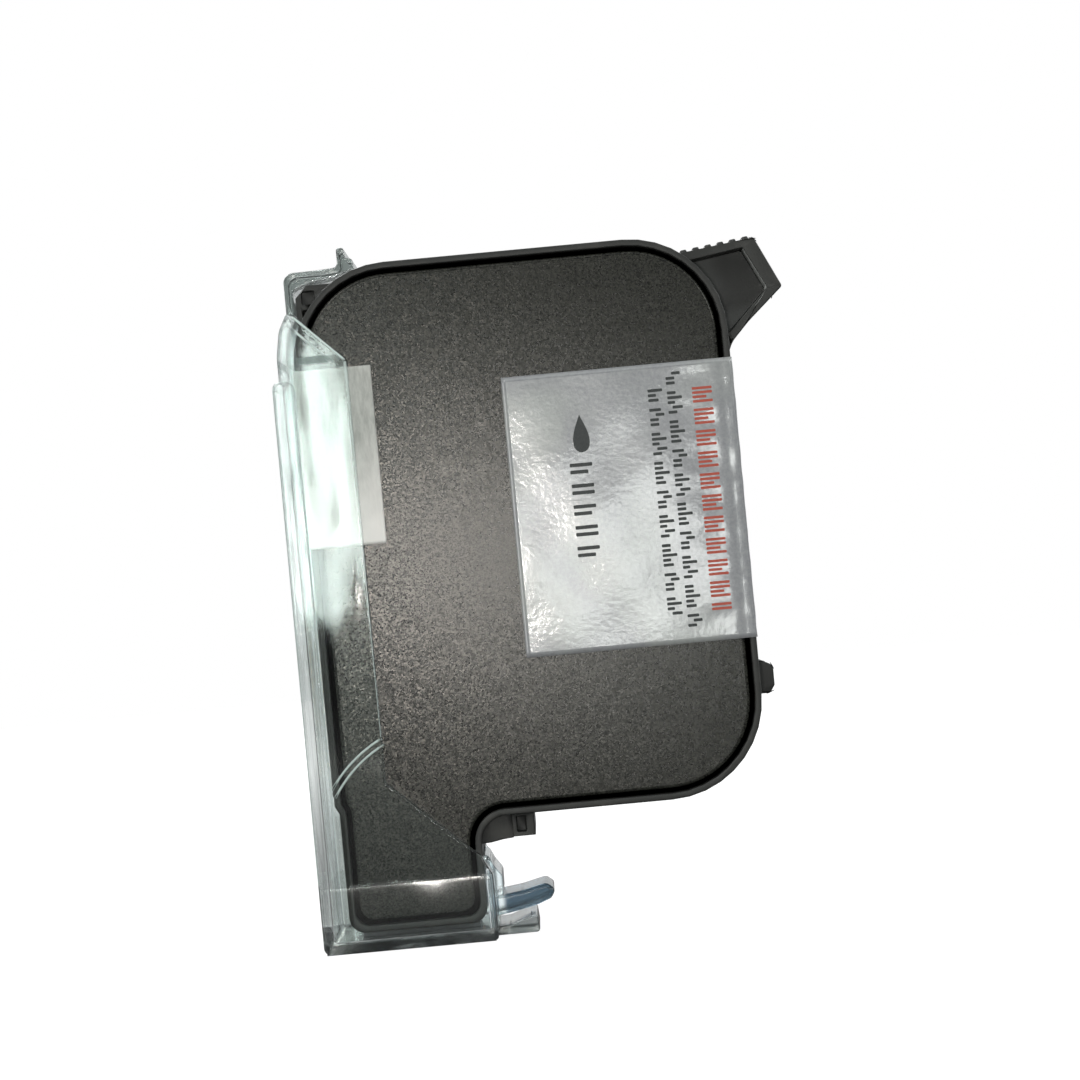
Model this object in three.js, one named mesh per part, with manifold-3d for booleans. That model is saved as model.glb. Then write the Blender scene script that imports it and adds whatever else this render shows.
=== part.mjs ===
// A thermal inkjet print cartridge for date coding machines, wearing its clear protective clip.
//
// Millimetres, +Z up. Everything is drawn from the centre of the nozzle face, which looks down (-Z),
// and raised at the end so that the clip's base stands on Z = 0.
// +X runs from the contact wall to the finger grip. Y is the thickness: "near" is -Y, "far" is +Y.

import * as THREE from "three";
import { mergeVertices } from "three/addons/utils/BufferGeometryUtils.js";
import Module from "manifold-3d";

const wasm = await Module();
wasm.setup();

// ---------------------------------------------------------------- driving dimensions

// Cartridge body, seen from the side (X, Z).
const TOP = 77; // nozzle face to top
const BODY_LEFT = -8.6; // contact wall
const BODY_RIGHT = 41.6;
const BODY_BOTTOM = 12.2;
const BODY_RADIUS = 11.3;
const SNOUT_LEFT = -8.1;
const SNOUT_RIGHT = 7.9;
const SNOUT_BOTTOM = 0.2;
const SNOUT_RADIUS = 1.8;
const HALF_THICKNESS = 11.45;

// Layers counted inwards from the frame's outline.
const RIM = 0.75; // width of the rim beside the cover's recess
const COVER_INSET = 1.6; // outline to the cover's edge, so the seam is 0.85 wide
const SEAM_RADIUS = 1.7; // least corner radius of the rim's recess
const COVER_RADIUS = 1.4; // least corner radius of the cover
const FRAME_WALL = 2.3;
const LINER_INSET = 2.4;
const LINER_WALL = 1.5;

// Layers counted outwards from the middle plane (Y).
const LINER_HALF = 8;
const FILM = 0.25;
const FILM_FLAT = 8.1;
const PLATE_INNER = 9.1;
const PLATE = 0.4;
const GUARD = 0.15;
const FILM_CROWN = 9.75;
const RECESS_DEPTH = 1.4;
const COVER_OUTER = 11.2;
const COVER = 0.5;
const PAPER = 0.12;
const PAPER_GAP = 0.05;
const PAPER_FOLD = 0.3;
const LABEL = { x: 15, z0: 30, z1: 62.4 };
const STRIP = { x: 0.2, z0: 44.7, z1: 65.3 };

// Clear clip.
const CLIP_WALL = 1;
const CLIP_INNER_HALF = 11.9;
const CLIP_OUTER_HALF = CLIP_INNER_HALF + CLIP_WALL;
const CLIP_BACK = -11.2;
const CLIP_FLOOR = -1.9;
const CLIP_FLOOR_TOP = -0.8;
const CLIP_RIGHT = 8.9;
const CLIP_WING_EDGE = -2.4;
const CHANNEL_TOP = 64.2; // top of the deep channel over the contacts
const COLLAR_TOP = 5.8; // top of the thick band round the snout
const CLIP_NECK_TOP = 72; // the top hook grows from here
const FLEX_GAP = 0.3; // slit left where the moulding flexes
const CATCH = { x: 8, z: 6.9 }; // the latch's nose turns in the snout's catch groove
const NOSE_RADIUS = 0.65;
const CATCH_RADIUS = 0.9;
const LATCH_HALF = 7;
const HOOK_HALF = 8;

// Flex circuit and printhead.
const FLEX = 0.15;
const FLEX_GLUE = 0.05;
const PAD_ROWS = 13;
const PAD_COLUMNS = [-6.6, -3.3, 3.3, 6.6];

const EVEN_MORE = 1; // how far a cutting tool runs past the piece it cuts
const ARC_STEPS = 9; // straight steps in a rounded corner

// ---------------------------------------------------------------- outlines

const point = ([x, z]) => new THREE.Vector2(x, z);

// A closed outline through corners [x, z, radius], anticlockwise. No radius leaves a sharp corner.
function outline(corners, steps = ARC_STEPS) {
  const points = [];
  corners.forEach((given, i) => {
    const radius = given[2] ?? 0;
    const corner = point(given);
    const toBefore = point(corners.at(i - 1)).sub(corner).normalize();
    const toAfter = point(corners[(i + 1) % corners.length]).sub(corner).normalize();
    if (radius <= 0) {
      points.push(corner);
      return;
    }
    const half = Math.acos(toBefore.dot(toAfter)) / 2;
    const bisector = toBefore.clone().add(toAfter).normalize();
    const centre = corner.clone().addScaledVector(bisector, radius / Math.sin(half));
    const start = corner.clone().addScaledVector(toBefore, radius / Math.tan(half)).sub(centre);
    const end = corner.clone().addScaledVector(toAfter, radius / Math.tan(half)).sub(centre);
    const sweep = Math.atan2(start.cross(end), start.dot(end));
    for (let k = 0; k <= steps; k += 1) {
      points.push(start.clone().rotateAround(new THREE.Vector2(), (sweep * k) / steps).add(centre));
    }
  });
  return points;
}

// The same corners moved inwards by a distance. Outside corners tighten, down to the least radius,
// and inside corners widen.
function inset(corners, distance, leastRadius = 0) {
  return corners.map((given, i) => {
    const corner = point(given);
    const arriving = corner.clone().sub(point(corners.at(i - 1))).normalize();
    const leaving = point(corners[(i + 1) % corners.length]).sub(corner).normalize();
    const normals = [arriving, leaving].map((edge) => new THREE.Vector2(-edge.y, edge.x));
    const sum = normals[0].clone().add(normals[1]);
    corner.addScaledVector(sum, distance / (1 + normals[0].dot(normals[1])));
    const turn = Math.sign(arriving.cross(leaving));
    return [corner.x, corner.y, Math.max((given[2] ?? 0) - turn * distance, leastRadius)];
  });
}

const rectangle = (x0, z0, x1, z1, radius = 0) => [
  [x0, z0, radius],
  [x1, z0, radius],
  [x1, z1, radius],
  [x0, z1, radius],
];

// A band of a ring, drawn from one angle to another in degrees.
function ringSector(centreX, centreZ, inner, outer, fromDegrees, toDegrees, steps) {
  const along = (radius, share) => {
    const angle = THREE.MathUtils.degToRad(THREE.MathUtils.lerp(fromDegrees, toDegrees, share));
    return new THREE.Vector2(centreX + radius * Math.cos(angle), centreZ + radius * Math.sin(angle));
  };
  const shares = Array.from({ length: steps + 1 }, (_, k) => k / steps);
  return [
    ...shares.map((share) => along(outer, share)),
    ...shares.toReversed().map((share) => along(inner, share)),
  ];
}

// ---------------------------------------------------------------- solids

// The closed solid inside a geometry, ready to be joined or cut.
function solid(geometry) {
  const bare = geometry.index ? geometry.toNonIndexed() : geometry.clone();
  bare.deleteAttribute("normal");
  bare.deleteAttribute("uv");
  const merged = mergeVertices(bare, 1e-4);
  return new wasm.Manifold(
    new wasm.Mesh({
      numProp: 3,
      vertProperties: new Float32Array(merged.attributes.position.array),
      triVerts: new Uint32Array(merged.index.array),
    }),
  );
}

function geometryOf(manifold) {
  const { vertProperties, triVerts } = manifold.getMesh();
  const geometry = new THREE.BufferGeometry();
  geometry.setAttribute("position", new THREE.BufferAttribute(vertProperties, 3));
  geometry.setIndex(new THREE.BufferAttribute(triVerts, 1));
  geometry.computeVertexNormals();
  return geometry;
}

const join = (first, ...others) => others.reduce((whole, next) => whole.add(next), first);
const cut = (first, ...others) => others.reduce((whole, next) => whole.subtract(next), first);

const extruded = (points, depth) =>
  new THREE.ExtrudeGeometry(new THREE.Shape(points), { depth, bevelEnabled: false });

// Points drawn in (X, Z), run from y0 to y1.
function prismY(points, y0, y1) {
  return solid(extruded(points, y1 - y0).rotateX(Math.PI / 2).translate(0, y1, 0));
}

// Points drawn in (Y, Z), run from x0 to x1.
function prismX(points, x0, x1) {
  const geometry = extruded(points, x1 - x0).rotateX(Math.PI / 2).rotateZ(Math.PI / 2);
  return solid(geometry.translate(x0, 0, 0));
}

// Points drawn in (X, Y), run from z0 to z1.
const prismZ = (points, z0, z1) => solid(extruded(points, z1 - z0).translate(0, 0, z0));

// A prism on both sides of the middle plane, each from `inner` to `outer` in |Y|.
const bothSides = (points, inner, outer) =>
  join(prismY(points, inner, outer), prismY(points, -outer, -inner));

const centred = (points, half) => prismY(points, -half, half);

function box(x0, x1, y0, y1, z0, z1) {
  const geometry = new THREE.BoxGeometry(x1 - x0, y1 - y0, z1 - z0);
  return solid(geometry.translate((x0 + x1) / 2, (y0 + y1) / 2, (z0 + z1) / 2));
}

function cylinderY(x, z, radius, half, steps = 32) {
  return solid(new THREE.CylinderGeometry(radius, radius, 2 * half, steps).translate(x, 0, z));
}

function cylinderZ(x, y, radius, z0, z1, steps = 24) {
  const geometry = new THREE.CylinderGeometry(radius, radius, z1 - z0, steps);
  return solid(geometry.rotateX(Math.PI / 2).translate(x, y, (z0 + z1) / 2));
}

// A solid with straight sides between two outlines of as many points, at y0 and y1 (y0 < y1).
function loftY(pointsA, y0, pointsB, y1) {
  const count = pointsA.length;
  const positions = [];
  pointsA.forEach((p) => positions.push(p.x, y0, p.y));
  pointsB.forEach((p) => positions.push(p.x, y1, p.y));
  const faces = [];
  for (let i = 0; i < count; i += 1) {
    const j = (i + 1) % count;
    faces.push(i, count + i, j);
    faces.push(j, count + i, count + j);
  }
  THREE.ShapeUtils.triangulateShape(pointsA, []).forEach(([a, b, c]) => faces.push(a, b, c));
  THREE.ShapeUtils.triangulateShape(pointsB, []).forEach(([a, b, c]) => {
    faces.push(count + a, count + c, count + b);
  });
  const geometry = new THREE.BufferGeometry();
  geometry.setAttribute("position", new THREE.Float32BufferAttribute(positions, 3));
  geometry.setIndex(faces);
  return solid(geometry);
}

// The same solid on the other side of the middle plane.
function mirrored(manifold) {
  const geometry = geometryOf(manifold).toNonIndexed();
  geometry.scale(1, -1, 1);
  const { array } = geometry.attributes.position;
  for (let i = 0; i < array.length; i += 9) {
    const second = array.slice(i + 3, i + 6);
    array.copyWithin(i + 3, i + 6, i + 9);
    array.set(second, i + 6);
  }
  return solid(geometry);
}

// ---------------------------------------------------------------- materials and assembly

const material = (color, roughness, metalness = 0, opacity = 1) =>
  new THREE.MeshStandardMaterial({ color, roughness, metalness, opacity, transparent: opacity < 1 });

const materials = {
  blackPlastic: material(0x1c1e1d, 0.45),
  liner: material(0xd8d6cc, 0.5, 0, 0.7),
  coatedCover: material(0x45453f, 0.55, 0.2),
  film: material(0xe6e8e8, 0.2, 0, 0.4),
  steel: material(0xb4b6b8, 0.3, 1),
  guard: material(0xdcdcd4, 0.4, 0, 0.6),
  polyimide: material(0xb26a1e, 0.35),
  silicon: material(0x5d6670, 0.2, 0.4),
  encapsulant: material(0x101010, 0.3),
  label: material(0xc3c9c8, 0.2, 0, 0.9),
  paper: material(0xe3e4de, 0.8),
  clearPlastic: material(0xdff2ee, 0.08, 0, 0.3),
  elastomer: material(0x8f9497, 0.7),
};

const cartridge = new THREE.Group();

function place(name, manifold, look, group) {
  const mesh = new THREE.Mesh(geometryOf(manifold), look);
  mesh.name = name;
  group.add(mesh);
}

// ---------------------------------------------------------------- cartridge frame

const STEP_TOP = 15; // the contact wall steps back into the snout between these heights
const STEP_BOTTOM = 14;

const FRAME = [
  [SNOUT_LEFT, SNOUT_BOTTOM, SNOUT_RADIUS],
  [SNOUT_RIGHT, SNOUT_BOTTOM, SNOUT_RADIUS],
  [SNOUT_RIGHT, BODY_BOTTOM, 3],
  [BODY_RIGHT, BODY_BOTTOM, BODY_RADIUS],
  [BODY_RIGHT, TOP, BODY_RADIUS],
  [BODY_LEFT, TOP, BODY_RADIUS],
  [BODY_LEFT, STEP_TOP, 0.5],
  [SNOUT_LEFT, STEP_BOTTOM, 0.5],
];

const framePrism = (distance, half) => centred(outline(inset(FRAME, distance)), half);

const GRIP_HALF = 9.5;
const GRIP_WEB_HALF = 5.5;
const GRIP_RIDGE_START = [37.4, 75.05];
const GRIP_RIDGE_END = [44.6, 75.95];
const GRIP_RIDGES = 6;

function fingerGrip() {
  const body = outline([
    [33, 74],
    [38, 66],
    [39, 60],
    [41.3, 62.4, 0.8],
    [42.1, 64.2, 3],
    [44.2, 66.4, 5],
    [48.4, 70.1, 0.4],
    [45.6, 76, 0.3],
    [36.6, 74.9],
  ]);
  const panel = outline([
    [37, 68],
    [41.7, 65.2, 0.4],
    [46.6, 70.1, 0.4],
    [44.2, 74.9, 0.3],
    [37.7, 73.9],
  ]);
  const slope = Math.atan2(GRIP_RIDGE_END[1] - GRIP_RIDGE_START[1], GRIP_RIDGE_END[0] - GRIP_RIDGE_START[0]);
  const ridges = Array.from({ length: GRIP_RIDGES }, (_, k) => {
    const share = k / (GRIP_RIDGES - 1);
    const x = THREE.MathUtils.lerp(GRIP_RIDGE_START[0], GRIP_RIDGE_END[0], share);
    const z = THREE.MathUtils.lerp(GRIP_RIDGE_START[1], GRIP_RIDGE_END[1], share);
    const ridge = new THREE.BoxGeometry(0.75, 2 * GRIP_HALF - 1, 0.5);
    return solid(ridge.rotateY(-slope).translate(x, 0, z));
  });
  const bar = cut(centred(body, GRIP_HALF), bothSides(panel, GRIP_WEB_HALF, GRIP_HALF + EVEN_MORE));
  return join(bar, ...ridges);
}

// The corner above the contact wall is filled square, narrower than the body, with two shallow pockets.
const CORNER_HALF = 9.6;
const CORNER_TOP = 75.2;

function contactCorner() {
  const block = outline([
    [-7.8, 62],
    [2, 66],
    [2, CORNER_TOP],
    [-6.4, CORNER_TOP],
    [-7.8, 73.8],
  ]);
  const pockets = [rectangle(-7.1, 73, -5.6, 74.5), rectangle(-7.1, 70.7, -5.9, 72.3)];
  const cuts = pockets.map((pocket) => bothSides(outline(pocket), CORNER_HALF - 0.8, CORNER_HALF + 1));
  return cut(centred(block, CORNER_HALF), ...cuts);
}

// Two datum pads locate the cartridge in its carriage: one on the rear wall, one under the body.
const REAR_DATUM_FACE = 43.6;

function rearDatum() {
  const pad = outline([
    [41, 23.1],
    [43, 23.1, 0.3],
    [REAR_DATUM_FACE, 24, 0.4],
    [REAR_DATUM_FACE, 26.3, 0.3],
    [42.2, 27, 0.3],
    [41, 27],
  ]);
  return centred(pad, 3.5);
}

const LOWER_DATUM = { x0: 11.6, x1: 14.2, z0: 9.6 };

function lowerDatum() {
  const web = outline([
    [7, 9],
    [9, 9.1],
    [LOWER_DATUM.x0 + 0.2, 9.6],
    [LOWER_DATUM.x0 + 0.2, 13],
    [7, 13],
  ]);
  const pad = outline(rectangle(LOWER_DATUM.x0, LOWER_DATUM.z0, LOWER_DATUM.x1, 13));
  const pocket = outline(rectangle(12.1, 10.1, 13.2, 11.9));
  return join(centred(web, 9.9), cut(centred(pad, 10.6), bothSides(pocket, 9.2, 11)));
}

const DIE = { half: 6.8, halfWidth: 3.95, z0: 0.5, z1: 1.15 };
const INK_SLOT = { half: 5.6, halfWidth: 0.8 };
const FILL_PORT = { x: 24, radius: 1.6, ball: 1.5 };
const FILL_BALL_Z = BODY_BOTTOM + FILL_PORT.ball - 0.1;

function outerFrame() {
  const shell = join(framePrism(0, HALF_THICKNESS), fingerGrip(), contactCorner(), rearDatum(), lowerDatum());
  const recess = bothSides(
    outline(inset(FRAME, RIM, SEAM_RADIUS)),
    HALF_THICKNESS - RECESS_DEPTH,
    HALF_THICKNESS + EVEN_MORE,
  );
  const [pocketHalf, pocketHalfWidth] = [DIE.half + 0.15, DIE.halfWidth + 0.15];
  const printheadPocket = box(-pocketHalf, pocketHalf, -pocketHalfWidth, pocketHalfWidth, -1, DIE.z1 + 0.15);
  return cut(
    shell,
    framePrism(FRAME_WALL, HALF_THICKNESS + EVEN_MORE),
    recess,
    printheadPocket,
    box(-INK_SLOT.half, INK_SLOT.half, -INK_SLOT.halfWidth, INK_SLOT.halfWidth, -1, FRAME_WALL + 1),
    cylinderY(CATCH.x, CATCH.z, CATCH_RADIUS, LATCH_HALF + 0.8),
    cylinderZ(FILL_PORT.x, 0, FILL_PORT.radius, BODY_BOTTOM - 1, BODY_BOTTOM + FRAME_WALL + 1),
  );
}

// ---------------------------------------------------------------- ink bag, springs and plates

const FILTER = { x0: -5, x1: 4.8, z0: 4.2, z1: 13.2, outer: 7.9, thickness: 0.2 };

function innerFrame() {
  const ring = cut(
    framePrism(LINER_INSET, LINER_HALF),
    framePrism(LINER_INSET + LINER_WALL, LINER_HALF + EVEN_MORE),
  );
  const below = box(-20, 20, -20, 20, -5, BODY_BOTTOM + FRAME_WALL);
  const standpipe = framePrism(LINER_INSET, LINER_HALF).intersect(below);
  const seat = outline(rectangle(FILTER.x0 - 0.15, FILTER.z0 - 0.15, FILTER.x1 + 0.15, FILTER.z1 + 0.15));
  const portTop = FILL_BALL_Z + FILL_PORT.ball + 0.3;
  return cut(
    join(ring, standpipe),
    box(-4.2, 4, -9, 9, 5, 12.4),
    bothSides(seat, FILTER.outer - FILTER.thickness - 0.1, LINER_HALF + EVEN_MORE),
    box(-INK_SLOT.half + 0.4, INK_SLOT.half - 0.4, -INK_SLOT.halfWidth, INK_SLOT.halfWidth, 1, 6),
    cylinderZ(FILL_PORT.x, 0, FILL_PORT.radius + 0.2, BODY_BOTTOM, portTop),
    cylinderZ(FILL_PORT.x, 0, 0.8, BODY_BOTTOM, BODY_BOTTOM + 6),
  );
}

function nearFilterScreen() {
  const mesh = outline(rectangle(FILTER.x0, FILTER.z0, FILTER.x1, FILTER.z1));
  return prismY(mesh, -FILTER.outer, -FILTER.outer + FILTER.thickness);
}

const PLATE_AREA = rectangle(-1.6, 19.4, 34.6, 69.6, 5);
const CROWN_AREA = inset(PLATE_AREA, -1);
const DISH_AREA = inset(PLATE_AREA, -2.8);

// The film is flat where it is welded to the liner and stands proud over the pressure plate.
function nearBagFilm() {
  const flat = prismY(outline(inset(FRAME, LINER_INSET + 0.2)), -FILM_FLAT - FILM, -FILM_FLAT);
  const outside = loftY(outline(CROWN_AREA), -FILM_CROWN - FILM, outline(DISH_AREA), -FILM_FLAT);
  const inside = loftY(
    outline(inset(CROWN_AREA, FILM)),
    -FILM_CROWN,
    outline(inset(DISH_AREA, FILM)),
    -FILM_FLAT + EVEN_MORE / 2,
  );
  return cut(join(flat, outside), inside);
}

function nearPistonPlate() {
  return prismY(outline(PLATE_AREA), -PLATE_INNER - PLATE, -PLATE_INNER);
}

// A soft border keeps the steel plate's edge off the film.
function nearEdgeGuard() {
  const outerFace = -PLATE_INNER - PLATE - 0.05 - GUARD;
  const border = prismY(outline(inset(PLATE_AREA, -0.6)), outerFace, outerFace + GUARD);
  return cut(border, centred(outline(inset(PLATE_AREA, 3)), HALF_THICKNESS));
}

// Two shallow bows joined at their ends, welded at the crowns to the two pressure plates.
const BOW = { centreZ: 44.5, halfLength: 22, halfHeight: PLATE_INNER - 0.05, strip: 0.35, halfWidth: 5 };
const BOW_X = 16.5;

function bowSpring() {
  const ellipse = (halfHeight, halfLength) =>
    new THREE.EllipseCurve(0, BOW.centreZ, halfHeight, halfLength).getPoints(48).slice(0, -1);
  const x0 = BOW_X - BOW.halfWidth;
  const x1 = BOW_X + BOW.halfWidth;
  const inner = ellipse(BOW.halfHeight - BOW.strip, BOW.halfLength - BOW.strip);
  return cut(
    prismX(ellipse(BOW.halfHeight, BOW.halfLength), x0, x1),
    prismX(inner, x0 - EVEN_MORE, x1 + EVEN_MORE),
  );
}

const fillPortBall = () =>
  solid(new THREE.SphereGeometry(FILL_PORT.ball, 20, 12).translate(FILL_PORT.x, 0, FILL_BALL_Z));

// ---------------------------------------------------------------- side covers and labels

// A pressed metal lid with a short folded edge, sunk a little below the frame's rim.
function nearSideCover() {
  const lid = prismY(outline(inset(FRAME, COVER_INSET, COVER_RADIUS)), -COVER_OUTER, -COVER_OUTER + 1);
  const hollow = outline(inset(FRAME, COVER_INSET + COVER, COVER_RADIUS - COVER));
  return cut(lid, prismY(hollow, -COVER_OUTER + COVER, -COVER_OUTER + 2));
}

// A sheet folded round an edge wall of the body, with an equal flap on each side face.
function wrappedSheet(wallX, flapEnd, z0, z1) {
  const away = Math.sign(wallX - flapEnd);
  const [innerX, innerY] = [wallX + away * PAPER_GAP, HALF_THICKNESS + PAPER_GAP];
  const [outerX, outerY] = [innerX + away * PAPER, innerY + PAPER];
  const corners = [
    [flapEnd, -outerY],
    [outerX, -outerY, PAPER_FOLD],
    [outerX, outerY, PAPER_FOLD],
    [flapEnd, outerY],
    [flapEnd, innerY],
    [innerX, innerY, 0.08],
    [innerX, -innerY, 0.08],
    [flapEnd, -innerY],
  ];
  return prismZ(outline(away > 0 ? corners : corners.toReversed(), 3), z0, z1);
}

const sideLabel = () => wrappedSheet(BODY_RIGHT, LABEL.x, LABEL.z0, LABEL.z1);
const sealStrip = () => wrappedSheet(BODY_LEFT, STRIP.x, STRIP.z0, STRIP.z1);

// ---------------------------------------------------------------- flex circuit and printhead

const FLEX_HALF = 9.2; // over the contacts
const FLEX_SNOUT_HALF = 6.5; // round the snout
const FLEX_TOP = 40;
const FLEX_END = 7.2;
const PAD = { half: 1.1, height: 1.2, proud: 0.08 };
const PAD_LOWEST = 17.1;
const PAD_PITCH = 1.7;
const PAD_STAGGER = 0.6;

// The strip follows the nozzle face, the snout's corner and the contact wall, with a window for the
// die. Its contact pads stand proud of it in staggered columns.
function flexCircuit() {
  const outside = outline(inset(FRAME, -FLEX_GLUE - FLEX));
  const hollow = outline(inset(FRAME, -FLEX_GLUE));
  const wrapped = (half) => cut(centred(outside, half), centred(hollow, half + EVEN_MORE));
  const lowerPart = join(
    box(-15, -6, -FLEX_SNOUT_HALF, FLEX_SNOUT_HALF, -1, 17),
    box(-15, FLEX_END, -FLEX_SNOUT_HALF, FLEX_SNOUT_HALF, -1, SNOUT_BOTTOM + 0.1),
  );
  const upperPart = box(-15, -6, -FLEX_HALF, FLEX_HALF, 16, FLEX_TOP);
  const dieWindow = box(-6.3, 6.3, -3.4, 3.4, -1, 1);
  return join(
    wrapped(FLEX_SNOUT_HALF).intersect(lowerPart),
    wrapped(FLEX_HALF).intersect(upperPart),
    ...contactPads(),
  ).subtract(dieWindow);
}

function contactPads() {
  const face = BODY_LEFT - FLEX_GLUE - FLEX;
  return PAD_COLUMNS.flatMap((y, column) =>
    Array.from({ length: PAD_ROWS }, (_, row) => {
      const z = PAD_LOWEST + row * PAD_PITCH + (column % 2) * PAD_STAGGER;
      return box(face - PAD.proud, face + 0.05, y - PAD.half, y + PAD.half, z, z + PAD.height);
    }),
  );
}

const printheadDie = () =>
  box(-DIE.half, DIE.half, -DIE.halfWidth, DIE.halfWidth, DIE.z0, DIE.z1)
    .subtract(box(-INK_SLOT.half, INK_SLOT.half, -0.3, 0.3, 0, 2));

// A glue bead covers the wire ends at each end of the die.
function dieBead(x) {
  const bead = outline([
    [-0.45, -0.02],
    [-0.25, -0.2, 0.1],
    [0.25, -0.2, 0.1],
    [0.45, -0.02],
  ], 3);
  return centred(bead.map((p) => new THREE.Vector2(p.x + x, p.y)), 3.8);
}

// ---------------------------------------------------------------- clear clip

const WING = [
  [CLIP_BACK, CLIP_FLOOR, 1],
  [CLIP_RIGHT, CLIP_FLOOR, 0.4],
  [CLIP_RIGHT, 5.6, 0.6],
  [7.7, 8, 0.8],
  [5.9, 9.6, 0.8],
  [CLIP_WING_EDGE, 17.3, 0.6],
  [CLIP_WING_EDGE, 66.1, 0.4],
  [-8, 71.6, 0.4],
  [-8.9, CLIP_NECK_TOP, 0.2],
  [-9.9, 70, 3],
  [-10.4, 67, 6],
  [-10.4, CHANNEL_TOP, 0.2],
  [CLIP_BACK, CHANNEL_TOP, 0.7],
];

// What the clip keeps free inside, seen from the side: the channel over the contacts and the neck.
const HOLLOW = [
  [CLIP_BACK + 1.1, CLIP_FLOOR_TOP, 0.6],
  [CATCH.x + 0.2, CLIP_FLOOR_TOP],
  [CATCH.x + 0.2, 20],
  [20, 20],
  [20, 80],
  [-7.9, 80],
  [-7.9, CLIP_NECK_TOP - 0.6, 1],
  [-8.95, 69.8, 3],
  [-9.45, 66.8, 6],
  [-9.45, 64.5, 0.3],
  [CLIP_BACK + 1.1, CHANNEL_TOP - 1.1, 0.5],
];

const RIB = { x: 4.5, z: 8.2, inner: 14.9, outer: 15.9 };

function clipShell() {
  const body = centred(outline(WING), CLIP_OUTER_HALF);
  const hollow = centred(outline(HOLLOW), CLIP_INNER_HALF);
  const channelSide = outline([
    [CLIP_BACK, CLIP_FLOOR, 1],
    [-9, CLIP_FLOOR],
    [-9, CHANNEL_TOP, 0.7],
    [CLIP_BACK, CHANNEL_TOP, 0.7],
  ]);
  const collar = outline([
    [CLIP_OUTER_HALF - 0.5, CLIP_FLOOR],
    [CLIP_OUTER_HALF + 0.3, CLIP_FLOOR],
    [CLIP_OUTER_HALF + 0.7, CLIP_FLOOR + 0.4],
    [CLIP_OUTER_HALF + 0.7, COLLAR_TOP - 1.2, 0.4],
    [CLIP_OUTER_HALF, COLLAR_TOP],
    [CLIP_OUTER_HALF - 0.5, COLLAR_TOP],
  ]);
  const rib = ringSector(RIB.x, RIB.z, RIB.inner, RIB.outer, 116.5, 148.5, 12);
  const collarNear = prismX(collar, -10, CLIP_RIGHT - 1);
  const flange = outline([
    [7, CLIP_FLOOR],
    [13.7, CLIP_FLOOR, 0.5],
    [13.4, -0.3, 0.3],
    [10.4, -0.3, 0.2],
    [9.8, CLIP_FLOOR_TOP],
    [7, CLIP_FLOOR_TOP],
  ]);
  const latchBay = box(CATCH.x, 12, -LATCH_HALF - 0.4, LATCH_HALF + 0.4, CLIP_FLOOR_TOP, 12);
  const snoutSide = box(CATCH.x - 0.9, CATCH.x + 0.25, -CLIP_INNER_HALF, CLIP_INNER_HALF, 5, 12);
  return join(
    cut(body, hollow, latchBay, snoutSide),
    bothSides(channelSide, CLIP_OUTER_HALF - 0.5, CLIP_OUTER_HALF + 0.4),
    collarNear,
    mirrored(collarNear),
    bothSides(rib, CLIP_OUTER_HALF - 0.5, CLIP_OUTER_HALF + 0.3),
    centred(flange, LATCH_HALF + 0.5),
  );
}

// The thumb tab bends the hook back about the neck, and its arm lifts off the cartridge's top corner.
function clipTopHook() {
  const foot = CLIP_NECK_TOP + FLEX_GAP;
  const hook = outline([
    [-9.1, foot],
    [-8.1, foot],
    [-8.1, 74.9, 0.6],
    [-6, 75.55],
    [-2.9, 76.05],
    [-1.4, 76.6],
    [-0.8, 76.65, 0.2],
    [-0.9, 77.9, 0.4],
    [-1.7, 78.1],
    [-1.8, 79.3, 0.4],
    [-2.7, 79.3, 0.4],
    [-2.7, 77.1, 0.6],
    [-5, 76.95],
    [-9.1, 76.9, 1.2],
  ], 4);
  return centred(hook, HOOK_HALF);
}

// The latch: a springy wall with a round nose in the catch groove and a lever to push down.
function clipReleaseLatch() {
  const root = CLIP_FLOOR_TOP + FLEX_GAP;
  const wall = outline([
    [CATCH.x + 0.25, root],
    [9, root],
    [9, 2.6],
    [9.8, 2.7, 0.3],
    [9.85, 5, 0.8],
    [9, 6.2, 0.8],
    [CATCH.x + 0.64, 7],
    [CATCH.x + 0.1, 6.9],
    [CATCH.x + 0.25, 6],
  ], 4);
  const lever = outline([
    [8.8, 0.4],
    [13.4, 0.8, 3],
    [15.2, 1.3, 1],
    [15.9, 2.4, 0.7],
    [15, 3.6, 0.8],
    [13.9, 3.25, 2],
    [11.4, 3.05, 3],
    [9.6, 2.75],
    [8.8, 2.75],
  ], 4);
  const nose = cylinderY(CATCH.x, CATCH.z, NOSE_RADIUS, LATCH_HALF, 24);
  return join(centred(wall, LATCH_HALF), centred(lever, LATCH_HALF - 1), nose);
}

const nozzleSealPad = () => centred(outline(rectangle(-7, CLIP_FLOOR_TOP + 0.02, 6.8, -0.3)), 5.5);

// ---------------------------------------------------------------- the whole object

const bothNearAndFar = (name, nearSolid, look, group) => {
  place(`near_${name}`, nearSolid, look, group);
  place(`far_${name}`, mirrored(nearSolid), look, group);
};

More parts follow.
